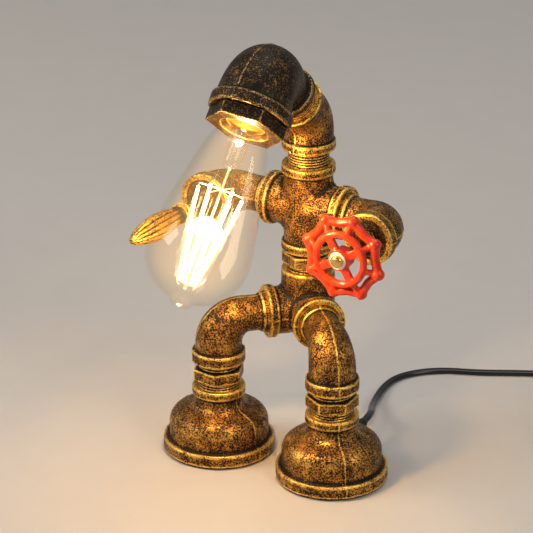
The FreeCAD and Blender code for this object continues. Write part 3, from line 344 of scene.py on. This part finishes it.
def move_points(piece, outward):
    """Moves each point of a piece along its normal, but not above the whole model's top."""
    places = numbers_of(piece, "co") + numbers_of(piece, "normal") * outward[:, None]
    places[:, 2] = places[:, 2].clip(max=cad_box[1][2])
    piece.data.vertices.foreach_set("co", places.ravel())
    piece.data.update()


def fill_creases(piece, middle, reach=0.026, fade=0.005, rounds=200):
    """Rounds the creases where a casting's limbs meet, and leaves all that stands proud."""
    about = averager(piece)
    places = numbers_of(piece, "co")
    smooth = places
    for _ in range(rounds):
        smooth = about(smooth)
    rise = ((smooth - places) * numbers_of(piece, "normal")).sum(axis=1).clip(0)
    off = np.linalg.norm(places - np.array(middle) / 1000, axis=1)
    move_points(piece, rise * ((reach - off) / fade).clip(0, 1))


def mould_line(piece, point, normal, height=0.00035, width=0.0009):
    """Raises the thin line that the mould's halves leave, where a plane cuts the piece."""
    normal = np.array(normal)
    off = (numbers_of(piece, "co") - np.array(point) / 1000) @ normal / np.linalg.norm(normal)
    move_points(piece, height * (1 - (off / width) ** 2).clip(0))


def mark_wear(piece, spread=5, strength=7.0):
    """Keeps, as the attribute worn, how proud each point stands: 0 in a hollow, 1 on an edge."""
    about = averager(piece)
    places, normals = numbers_of(piece, "co"), numbers_of(piece, "normal")
    first, last = edge_ends(piece)
    length = np.linalg.norm(places[first] - places[last], axis=1).mean()
    proud = ((places - about(places)) * normals).sum(axis=1) / length
    for _ in range(spread):
        proud = 0.4 * proud + 0.6 * about(proud)
    worn = piece.data.attributes.new("worn", "FLOAT", "POINT")
    worn.data.foreach_set("value", np.clip(0.5 + strength * proud, 0, 1).astype(np.float32))


BLACK_PAINT = (0.010, 0.006, 0.003)


def antique(name, rubbed, gold=(0.50, 0.225, 0.036), bright=(0.98, 0.62, 0.125)):
    """Black paint rubbed with gold, more of it the higher rubbed is."""
    finish = Finish(name)
    worn = finish.add("Attribute", {"attribute_name": "worn"}, {}, "Fac")
    speckle = finish.noise(1050, 2, 0.7)
    patches = finish.noise(130, 4, 0.6)
    pits = finish.noise(2200, 2)
    edge = (worn - 0.5).step(0.05, 0.3)
    hollow = (0.5 - worn).step(0.05, 0.35)
    gilding = (2.2 * (speckle - 0.5) + 0.9 * (patches - 0.5) + 0.7 * (pits - 0.5)
               + 0.20 * edge - 0.35 * hollow + rubbed).step(-0.10, 0.14)
    shine = (0.8 * edge + 1.6 * (patches - 0.5) + 0.8 * (speckle - 0.5)).step(0.0, 0.8)
    rich = finish.mix(shine, gold, bright)
    return finish.paint(
        Base_Color=finish.mix(gilding, BLACK_PAINT, rich),
        Metallic=0.15 + 0.8 * gilding,
        Roughness=0.44 - 0.11 * gilding + 0.25 * (pits - 0.5),
        Specular_IOR_Level=0.2,
        Normal=finish.bump(0.6 * speckle + 0.4 * pits + 0.3 * gilding, depth=0.0002))


bright_gold = antique("rubbed gold", rubbed=-0.04)
# This darker copy paints shade onto the head and the pieces set back in the mouths.
painted_shade_gold = antique("rubbed gold with painted shade", rubbed=-0.20, gold=(0.24, 0.125, 0.034),
                    bright=(0.55, 0.33, 0.10))

LEFT_WAY, RIGHT_WAY = (-0.70711, 0.70711, 0), (0.70711, 0.70711, 0)
UP_AXIS = (0, 0, 1)
LEFT_FOOT, RIGHT_FOOT = (-46.4, 33.8, 0), (36.4, 33.8, 0)
HIPS, TORSO = (-5.0, 75.2, 91.4), (-5.0, 75.2, 161.7)
CASTINGS = [
    # node, body it rides on, finish, a point and the normal of the mould's plane
    ("left_foot", "stand", bright_gold, LEFT_FOOT, (0.208, 0.978, 0)),
    ("right_foot", "stand", bright_gold, RIGHT_FOOT, RIGHT_WAY),
    ("left_leg_elbow", "stand", bright_gold, LEFT_FOOT, LEFT_WAY),
    ("right_leg_elbow", "stand", bright_gold, RIGHT_FOOT, RIGHT_WAY),
    ("hip_corner", "stand", bright_gold, HIPS, UP_AXIS),
    ("chest_cross", "stand", bright_gold, TORSO, (0, 1, 0)),
    ("left_arm_elbow", "left_arm", bright_gold, TORSO, (0, 0.04188, 0.99912)),
    ("right_arm_elbow", "right_arm", bright_gold, TORSO, UP_AXIS),
    ("neck_elbow", "neck", bright_gold, TORSO, (0.99813, -0.06105, 0)),
    ("head_elbow", "head", painted_shade_gold, (-7.8, 28.6, 268), (0.99838, -0.00425, 0.05671)),
]
for node, rides_on, finish, point, normal in CASTINGS:
    casting = skin(node + "_casting", node, grain=0.00055, softening=4)
    if node in ("hip_corner", "chest_cross"):
        fill_creases(casting, point)
    mould_line(casting, point, normal)
    mark_wear(casting)
    casting.data.materials.append(finish)
    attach(casting, rides_on)
    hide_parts(node)

# ------------------------------------------------------------ nipples
# Short pieces of steel pipe, threaded at both ends, join the castings. Those at the ankles
# and the waist have a hexagon to turn them by.
for node, rides_on in (
        ("left_ankle_nipple", "stand"), ("right_ankle_nipple", "stand"),
        ("waist_nipple", "stand"), ("neck_nipple", "stand"), ("head_nipple", "neck")):
    nipple = skin(node + "_steel", node, grain=0.00042, softening=3)
    mark_wear(nipple, spread=3, strength=9.0)
    nipple.data.materials.append(bright_gold)
    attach(nipple, rides_on)
    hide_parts(node)

# ------------------------------------------------------------ bushing in the head
# A hexagon bushing screws into the head's mouth and holds the lampholder. Its edges are
# rubbed to bright gold.
bushing = skin("bushing", "head_bushing", grain=0.00042, softening=3)
mark_wear(bushing, spread=4, strength=5.0)
bushing.data.materials.append(painted_shade_gold)
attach(bushing, "head")
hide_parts("head_bushing")

# ------------------------------------------------------------ hand plugs and foot pads
# A recessed plug closes each arm's mouth round what the hand holds. A pad of black rubber
# under each foot has a slightly rounded edge.
for node, rides_on in (("left_hand_plug", "left_arm"), ("right_hand_plug", "right_arm")):
    hand = skin(node + "_disc", node, grain=0.0006, softening=3)
    mark_wear(hand)
    hand.data.materials.append(painted_shade_gold)
    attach(hand, rides_on)
    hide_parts(node)

rubber = Finish("black rubber")
rubber_paint = rubber.paint(
    Base_Color=rubber.mix(rubber.noise(400, 3), (0.012, 0.012, 0.012), (0.03, 0.029, 0.027)),
    Roughness=0.75, Normal=rubber.bump(rubber.noise(1500, 2), depth=0.0001))
for node in ("left_foot_pad", "right_foot_pad"):
    pad = skin(node + "_rubber", node, grain=0.0005, softening=3)
    pad.data.materials.append(rubber_paint)
    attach(pad, "stand")
    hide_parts(node)


# ------------------------------------------------------------ bulb
# A pear-shaped filament bulb of clear, faintly warm glass with a drawn tip, screwed into the
# lampholder. Inside, a glass stem carries a pin, wire arms and slim glowing filaments.
def place_of(origin, x_axis, y_axis, z_axis):
    """The matrix of a place, from its origin in millimetres and its three directions."""
    made = Matrix.Identity(4)
    for column, axis in enumerate((x_axis, y_axis, z_axis)):
        for row in range(3):
            made[row][column] = axis[row]
    made.translation = Vector(origin) / 1000
    return made


def turned(name, place, corners, steps):
    """A shape turned about the Z axis of a place, from its (radius, height) corners."""
    mesh = bpy.data.meshes.new(name)
    mesh.from_pydata([(radius / 1000, 0, height / 1000) for radius, height in corners],
                     [(index, index + 1) for index in range(len(corners) - 1)], [])
    piece = bpy.data.objects.new(name, mesh)
    bpy.context.scene.collection.objects.link(piece)
    choose(piece)
    bpy.ops.object.mode_set(mode="EDIT")
    bpy.ops.mesh.select_all(action="SELECT")
    bpy.ops.mesh.spin(steps=steps, angle=math.tau, center=(0, 0, 0), axis=(0, 0, 1))
    bpy.ops.mesh.select_all(action="SELECT")
    bpy.ops.mesh.remove_doubles(threshold=0.000002)
    bpy.ops.mesh.normals_make_consistent(inside=False)
    bpy.ops.object.mode_set(mode="OBJECT")
    bpy.ops.object.shade_smooth_by_angle(angle=math.radians(35))
    mesh.transform(place)
    return piece


def part_clear(finish, share, tint):
    """Lets light through a finish, tinted, but for the share that its surface keeps."""
    through = finish.add("BsdfTransparent", {}, {"Color": (*tint, 1)})
    kept = Shade(finish, finish.surface.outputs[0])
    mixed = finish.add("MixShader", {}, {0: share, 1: through, 2: kept})
    output = finish.tree.nodes["Material Output"]
    finish.tree.links.new(mixed.socket, output.inputs["Surface"])
    return finish.material


# The bulb's own place has its Z axis along the bulb, from the cap to the tip.
BULB = place_of((-7.101, 14.308, 253.731), (0.04317, 0.70579, -0.70711),
                (0.99838, -0.00425, 0.05671), (0.03702, -0.70841, -0.70483))
GLASS = [(11.9, 17.4), (12.0, 19.2), (13.6, 21.0), (15.2, 23.4), (17.0, 27.0), (18.6, 31.5),
         (20.6, 38.5), (22.6, 47), (24.6, 57), (26.6, 67), (28.6, 77), (30.4, 87), (31.6, 94),
         (32.3, 101), (32.2, 107), (31.2, 113.2), (29.0, 119), (25.5, 124.2), (20.8, 129),
         (15.6, 132.2), (11.6, 133.9), (9.2, 134.8), (7.9, 135.8), (7.3, 136.9), (6.5, 138.2),
         (4.6, 139.2), (2.2, 139.7), (0, 139.8)]
glass = turned("bulb_envelope", BULB, GLASS, steps=96)
choose(glass)
wall = glass.modifiers.new("wall", "SOLIDIFY")
wall.thickness = 0.0007
wall.offset = -1
bpy.ops.object.modifier_apply(modifier="wall")
# What little light the glass keeps it mirrors, most at the rim. Where it is seen square on
# it also glows with a faint warm haze, a painted glow that stands for the filaments' glare.
clear = Finish("clear glass with painted warm glow")
rim = clear.add("LayerWeight", {}, {"Blend": 0.22}, "Facing")
clear.paint(Base_Color=(1.0, 0.93, 0.82), Roughness=0.03, Metallic=1.0, Emission_Strength=4.0,
            Emission_Color=clear.mix(rim.step(0.0, 0.35), (1.0, 0.55, 0.16), (0, 0, 0)))
glass.data.materials.append(part_clear(clear, 0.018 + 0.9 * rim ** 5.0, (1.0, 0.985, 0.955)))
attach(glass, "head")
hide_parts("bulb_glass")

stem = turned("bulb_stem_glass", BULB, [
    (0, 17.6), (11.0, 17.6), (10.8, 18.6), (9.0, 20.5), (7.2, 23.2), (6.1, 27), (5.8, 34),
    (5.7, 43), (5.2, 46.4), (3.4, 48.6), (1.3, 49.6), (0, 50.0)], steps=48)
pressed = Finish("stem glass")
pressed_rim = pressed.add("LayerWeight", {}, {"Blend": 0.35}, "Facing")
pressed.paint(Base_Color=(1.0, 0.90, 0.76), Roughness=0.10, Metallic=1.0)
stem.data.materials.append(
    part_clear(pressed, 0.04 + 0.5 * pressed_rim ** 3.0, (1.0, 0.98, 0.95)))
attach(stem, "head")
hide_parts("bulb_stem")

pin = turned("bulb_pin", BULB, [
    (0, 49), (0.8, 49), (0.8, 124.6), (1.3, 125.2), (1.3, 126.4), (0.6, 127.2), (0, 127.3)],
    steps=16)
# The pin and the wire arms carry a faint orange painted glow, though they give no light.
wire = Finish("filament wire with painted glow")
wire_paint_with_painted_glow = wire.paint(
    Base_Color=(0.72, 0.62, 0.50), Metallic=1.0, Roughness=0.28 + 0.1 * wire.noise(900),
    Emission_Color=(1.0, 0.52, 0.14), Emission_Strength=0.5)
pin.data.materials.append(wire_paint_with_painted_glow)
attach(pin, "head")


def wires(name, lines, radius, sides=8):
    """Round wires along lines of points given on the bulb's place, as one piece."""
    made = bpy.data.curves.new(name, "CURVE")
    made.dimensions = "3D"
    made.bevel_depth = radius / 1000
    made.bevel_resolution = sides // 4
    made.use_fill_caps = True
    for points in lines:
        spline = made.splines.new("POLY")
        spline.points.add(len(points) - 1)
        for steer, point in zip(spline.points, points):
            steer.co = (*(BULB @ (Vector(point) / 1000)), 1)
    piece = bpy.data.objects.new(name, made)
    bpy.context.scene.collection.objects.link(piece)
    choose(piece)
    bpy.ops.object.convert(target="MESH")
    bpy.ops.object.shade_smooth()
    return piece


def beside_pin(out, reach, height):
    """A point of the bulb, at a distance from its axis and a height along it."""
    return out * reach + Vector((0, 0, height))


FILAMENTS = 6
TOP, FOOT = 63.2, 109.2
TOP_REACH, FOOT_REACH = 14, 9
FADE_FROM, FADE_TO = 0.022, 0.035
rods, arms = [], []
for index in range(FILAMENTS):
    angle = math.tau * index / FILAMENTS
    out = Vector((math.cos(angle), math.sin(angle), 0))
    high, low = beside_pin(out, TOP_REACH, TOP), beside_pin(out, FOOT_REACH, FOOT)
    rods.append([high.lerp(low, share) for share in np.linspace(0.04, 0.96, 12)])
    arms.append([beside_pin(out, 0.8, TOP - 1), beside_pin(out, 13.4, TOP - 0.6), high,
                 high.lerp(low, 0.045)])
    arms.append([high.lerp(low, 0.955), low, beside_pin(out, 8.6, FOOT + 3),
                 beside_pin(out, 6.0, FOOT + 8), beside_pin(out, 3.2, FOOT + 10),
                 beside_pin(out, 0.9, FOOT + 9)])
rod_piece = wires("bulb_filament_rods", rods, radius=0.85, sides=12)
# Each filament glows white hot from its upper end and fades to orange at its lower end.
glow = Finish("glowing filament")
bulb_axis = BULB.col[2].to_3d()
along = glow.add("VectorMath", {"operation": "DOT_PRODUCT"},
                 {0: glow.place, 1: bulb_axis}, "Value")
start = (BULB @ Vector((0, 0, TOP / 1000))).dot(bulb_axis)
fade = (along - start).step(FADE_FROM, FADE_TO)
rod_piece.data.materials.append(glow.paint(
    Base_Color=(1.0, 0.75, 0.35), Roughness=0.6, Emission_Strength=30.0,
    Emission_Color=glow.mix(fade, (1.0, 0.78, 0.42), (0.020, 0.008, 0.0015))))
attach(rod_piece, "head")
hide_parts("bulb_filaments")
arm_piece = wires("bulb_wire_arms", arms, radius=0.35)
arm_piece.data.materials.append(wire_paint_with_painted_glow)
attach(arm_piece, "head")
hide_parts("bulb_supports")

# Two small warm lights inside the bulb cast the filaments' light on the lamp and the table.
for name, height, power, size in (
        ("filament_light", 0.086, 1.4, 0.012), ("neck_light", 0.025, 0.30, 0.003)):
    bpy.ops.object.light_add(type="POINT", location=BULB @ Vector((0, 0, height)))
    glow_light = bpy.context.object
    glow_light.name = name
    glow_light.data.energy = power
    glow_light.data.color = (1.0, 0.62, 0.25)
    glow_light.data.shadow_soft_size = size

# ------------------------------------------------------------ lampholder and bulb cap
# The lampholder is a glazed ceramic cup with a brass screw shell and a sprung contact. The
# bulb's brass cap screws into it, with black glass round its end contact.
def dress(nodes, material):
    """Gives nodes a finish."""
    for node in nodes:
        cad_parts[node].data.materials.clear()
        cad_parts[node].data.materials.append(material)


ceramic = Finish("glazed ceramic")
dress(["lampholder_core"], ceramic.paint(
    Base_Color=ceramic.mix(ceramic.noise(150, 3), (0.78, 0.66, 0.42), (0.84, 0.74, 0.52)),
    Roughness=0.2, Coat_Weight=0.4))
yellow_brass = Finish("satin brass")
brass_paint = yellow_brass.paint(
    Base_Color=yellow_brass.mix(yellow_brass.noise(260, 4), (0.62, 0.41, 0.14), (0.78, 0.57, 0.25)),
    Metallic=1.0, Roughness=0.26 + 0.14 * yellow_brass.noise(800, 2))
dress(["screw_shell", "centre_contact", "bulb_cap", "plug_blades"], brass_paint)
zinc = Finish("zinc plated steel")
zinc_paint = zinc.paint(
    Base_Color=zinc.mix(zinc.noise(300, 3), (0.42, 0.42, 0.43), (0.60, 0.60, 0.61)),
    Metallic=1.0, Roughness=0.32 + 0.1 * zinc.noise(700))
dress(["holder_screws", "bulb_contact"], zinc_paint)
black_glass = Finish("black glass")
dress(["bulb_insulator"], black_glass.paint(Base_Color=(0.015, 0.015, 0.02), Coat_Weight=0.5,
                                            Roughness=0.12 + 0.05 * black_glass.noise(500)))

# ------------------------------------------------------------ wiring
# Black sleeved leads run inside the pipes to a white connector block in the chest. None of
# this is seen while the lamp is whole.
sleeve = Finish("lead sleeve")
dress(["lower_lead", "chest_leads", "neck_lead", "head_lead", "dimmer_lead"], sleeve.paint(
    Base_Color=sleeve.mix(sleeve.noise(900, 2), (0.02, 0.02, 0.02), (0.05, 0.05, 0.05)),
    Roughness=0.6))
block = Finish("connector plastic")
dress(["wire_connector"], block.paint(
    Base_Color=block.mix(block.noise(300, 2), (0.72, 0.72, 0.70), (0.80, 0.80, 0.78)),
    Roughness=0.45))

# ------------------------------------------------------------ dimmer
# A dimmer sits behind the right hand's plug, held by a brass nut, and its steel spindle
# comes out of the mouth to carry the handwheel.
case = Finish("dimmer case")
dress(["dimmer_body"], case.paint(
    Base_Color=case.mix(case.noise(500, 2), (0.02, 0.02, 0.02), (0.04, 0.04, 0.04)), Roughness=0.5))
nut = skin("dimmer_lock_nut", "dimmer_nut", grain=0.00025, softening=2)
mark_wear(nut, spread=2, strength=4.0)
nut.data.materials.append(painted_shade_gold)
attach(nut, "right_arm")
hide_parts("dimmer_nut")
spindle = skin("wheel_spindle", "dimmer_spindle", grain=0.0003, softening=2)
mark_wear(spindle, spread=2)
spindle.data.materials.append(painted_shade_gold)
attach(spindle, "handwheel")
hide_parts("dimmer_spindle")

# ------------------------------------------------------------ handwheel
# A small cast valve handwheel in thick glossy red enamel: an eight-cornered rim with a knob
# at each corner, a raised inner ring on eight bars, and four flat spokes to the hub.
WHEEL = place_of((53.5, 15.8, 161.7), (-0.86603, 0, -0.5), (0.5, 0, -0.86603), (0, -1, 0))
CORNERS, SPOKES = 8, 4
RIM, RING, DISH = 25.2, 16.3, 4.5
RIM_BAR, RING_BAR = 2.9, 2.0
DRAWN_IN = 0.94
SPOKE_MIDDLE, SPOKE_SIZE = 0.0103, (0.0120, 0.0054, 0.0030)


def bar(start, end, radius):
    """A round bar between two points of the wheel, given in millimetres."""
    start, end = start / 1000, end / 1000
    span = end - start
    bpy.ops.mesh.primitive_cylinder_add(vertices=16, radius=radius / 1000, depth=span.length)
    made = bpy.context.object
    turn = span.to_track_quat("Z", "Y").to_matrix().to_4x4()
    made.data.transform(Matrix.Translation((start + end) / 2) @ turn)
    return made


def on_rim(corner):
    """The place of a corner of the rim, on the wheel's own place."""
    angle = math.tau * corner / CORNERS
    return Vector((RIM * math.cos(angle), RIM * math.sin(angle), 0))


parts = []
for corner in range(CORNERS):
    here, there = on_rim(corner), on_rim(corner + 1)
    # Each side of the rim bends in a little towards the hub.
    middle = (here + there) / 2 * DRAWN_IN
    parts += [bar(here, middle, RIM_BAR), bar(middle, there, RIM_BAR)]
    parts.append(bar(here, here * (RING / RIM) + Vector((0, 0, DISH)), RING_BAR))
    bpy.ops.mesh.primitive_uv_sphere_add(segments=24, ring_count=12, radius=0.0038)
    knob = bpy.context.object
    knob.data.transform(Matrix.Translation(here / 1000) @ Matrix.Diagonal((1, 1, 1.05, 1)))
    parts.append(knob)
bpy.ops.mesh.primitive_torus_add(major_segments=64, minor_segments=16,
                                 major_radius=RING / 1000, minor_radius=0.0024)
inner_ring = bpy.context.object
inner_ring.data.transform(Matrix.Translation((0, 0, DISH / 1000)))
parts.append(inner_ring)
for index in range(SPOKES):
    bpy.ops.mesh.primitive_cube_add(size=1)
    spoke = bpy.context.object
    spoke.data.transform(Matrix.Rotation(math.tau * index / SPOKES, 4, "Z")
                         @ Matrix.Translation((SPOKE_MIDDLE, 0, DISH / 1000))
                         @ Matrix.Diagonal((*SPOKE_SIZE, 1)))
    parts.append(spoke)
bpy.ops.mesh.primitive_cylinder_add(vertices=48, radius=0.0071, depth=0.009)
hub = bpy.context.object
hub.data.transform(Matrix.Translation((0, 0, 0.0025)))
parts.append(hub)
choose(*parts)
bpy.ops.object.join()
handwheel = bpy.context.object
handwheel.name = "red_handwheel"
handwheel.data.transform(WHEEL)
even_out(handwheel, grain=0.00042, softening=18)
enamel = Finish("red enamel")
handwheel.data.materials.append(enamel.paint(
    Base_Color=enamel.mix(enamel.noise(160, 3).step(0.3, 0.7),
                          (0.50, 0.020, 0.001), (0.70, 0.042, 0.002)),
    Roughness=0.30 + 0.08 * enamel.noise(400, 2), Coat_Weight=0.5, Specular_IOR_Level=0.2,
    Normal=enamel.bump(enamel.noise(260, 2), depth=0.00025)))
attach(handwheel, "handwheel")
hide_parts("handwheel")

FRONT = DISH + 2.5
washer = turned("hub_washer", WHEEL, [
    (1.6, FRONT), (5.5, FRONT), (5.7, FRONT + 0.2), (5.7, FRONT + 0.7), (5.4, FRONT + 1.0),
    (1.6, FRONT + 1.0), (1.6, FRONT)], steps=48)
pale = Finish("pale washer")
washer.data.materials.append(pale.paint(
    Base_Color=pale.mix(pale.noise(500, 3), (0.72, 0.66, 0.60), (0.86, 0.81, 0.76)),
    Metallic=0.5, Roughness=0.4))
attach(washer, "handwheel")
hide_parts("wheel_washer")
screw = turned("hub_screw", WHEEL, [
    (0, FRONT + 1), (4.0, FRONT + 1), (4.0, FRONT + 1.8), (3.7, FRONT + 2.7), (2.9, FRONT + 3.3),
    (1.7, FRONT + 3.6), (0, FRONT + 3.6)], steps=40)
polished = Finish("golden screw")
screw.data.materials.append(polished.paint(
    Base_Color=polished.mix(polished.noise(600, 2), (0.72, 0.42, 0.08), (0.88, 0.60, 0.18)),
    Metallic=1.0, Roughness=0.18 + 0.1 * polished.noise(900)))
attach(screw, "handwheel")
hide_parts("wheel_screw")

# ------------------------------------------------------------ finial
# The left hand holds a cast brass finial like a closed bud, with long flutes from its neck
# to its tip and two rings below them.
HAND = place_of((-63.5, 45.326, 162.952), (1, 0, 0), (0, 0.04188, 0.99912), (0, -0.99912, 0.04188))
BUD, TIP, FLUTES = 30.4, 84.9, 12
FLUTE_DEPTH, FLUTE_START, FLUTE_END = 0.24, 0.02, 0.99
DEEPENS_OVER, RUNS_OUT_OVER = 0.12, 0.08
finial = turned("fluted_finial", HAND, [
    (0, -12), (4, -12), (4, 23.4), (5.4, 23.6), (6.4, 24.2), (6.6, 24.9), (6.4, 25.6),
    (5.4, 26.1), (4.3, 26.3), (4.3, 27.7), (5.4, 27.9), (6.4, 28.5), (6.6, 29.2), (6.4, 29.9),
    (5.2, 30.4), (4.6, 31.2), (5.0, 33.5), (5.9, 36.5), (6.8, 40), (7.5, 44), (8.0, 49),
    (8.2, 54), (8.1, 59), (7.6, 64), (6.8, 69), (5.8, 73.5), (4.7, 77.5), (3.6, 80.8),
    (2.6, 83), (1.7, 84.3), (0.8, 84.9), (0, 84.9)], steps=144)
# The flutes are cut into the bud alone. Their depth is a share of its radius.
in_hand = HAND.inverted()
for vertex in finial.data.vertices:
    x, y, z = in_hand @ vertex.co * 1000
    share = (z - BUD) / (TIP - BUD)
    if FLUTE_START < share < FLUTE_END:
        depth = (FLUTE_DEPTH * min(1, share / DEEPENS_OVER)
                 * min(1, (FLUTE_END - share) / RUNS_OUT_OVER))
        cut = 1 - depth * (1 - abs(math.cos(FLUTES / 2 * math.atan2(y, x)))) ** 0.8
        vertex.co = HAND @ (Vector((x * cut, y * cut, z)) / 1000)
mark_wear(finial, spread=1, strength=9.0)
finial.data.materials.append(bright_gold)
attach(finial, "left_arm")
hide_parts("hand_finial")

# ------------------------------------------------------------ cord relief, tie and plug
# A tapered rubber relief with rings holds the cord where it leaves the right foot. A plastic
# tie holds the coil, and the moulded plug has two flat brass blades.
EXIT = place_of((33.063, 65.261, 14.8), (0.99452, 0.10453, 0), (0, 0, -1), (-0.10453, 0.99452, 0))
RIBS, RIB_PITCH, RIB_DEPTH, TAPER = 7, 2.4, 0.6, 0.14
relief_line = [(0, -6.7), (4.5, -6.7), (4.5, -3.7), (3.85, -3.7), (3.85, 0), (4.3, 0.3),
               (4.3, 1.4)]
for rib in range(RIBS):
    low, radius = 1.8 + RIB_PITCH * rib, 4.0 - TAPER * rib
    relief_line += [(radius - RIB_DEPTH, low), (radius - RIB_DEPTH, low + 0.8),
                    (radius, low + 1.1), (radius, low + 2.1)]
relief_line += [(2.9, 18.8), (2.7, 20.0), (0, 20.0)]
relief = turned("cord_relief", EXIT, relief_line, steps=48)
soft = Finish("soft black rubber")
soft_paint = soft.paint(
    Base_Color=soft.mix(soft.noise(500, 2), (0.008, 0.008, 0.008), (0.018, 0.018, 0.018)),
    Roughness=0.5)
relief.data.materials.append(soft_paint)
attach(relief, "stand")
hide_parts("cord_grommet")

strap = skin("coil_tie", "cord_tie", grain=0.0003, softening=3)
strap.data.materials.append(soft_paint)
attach(strap, "stand")
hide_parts("cord_tie")

plug = skin("moulded_plug", "plug_body", grain=0.0005, softening=40)
plug.data.materials.append(sheath.material)
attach(plug, "stand")
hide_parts("plug_body")
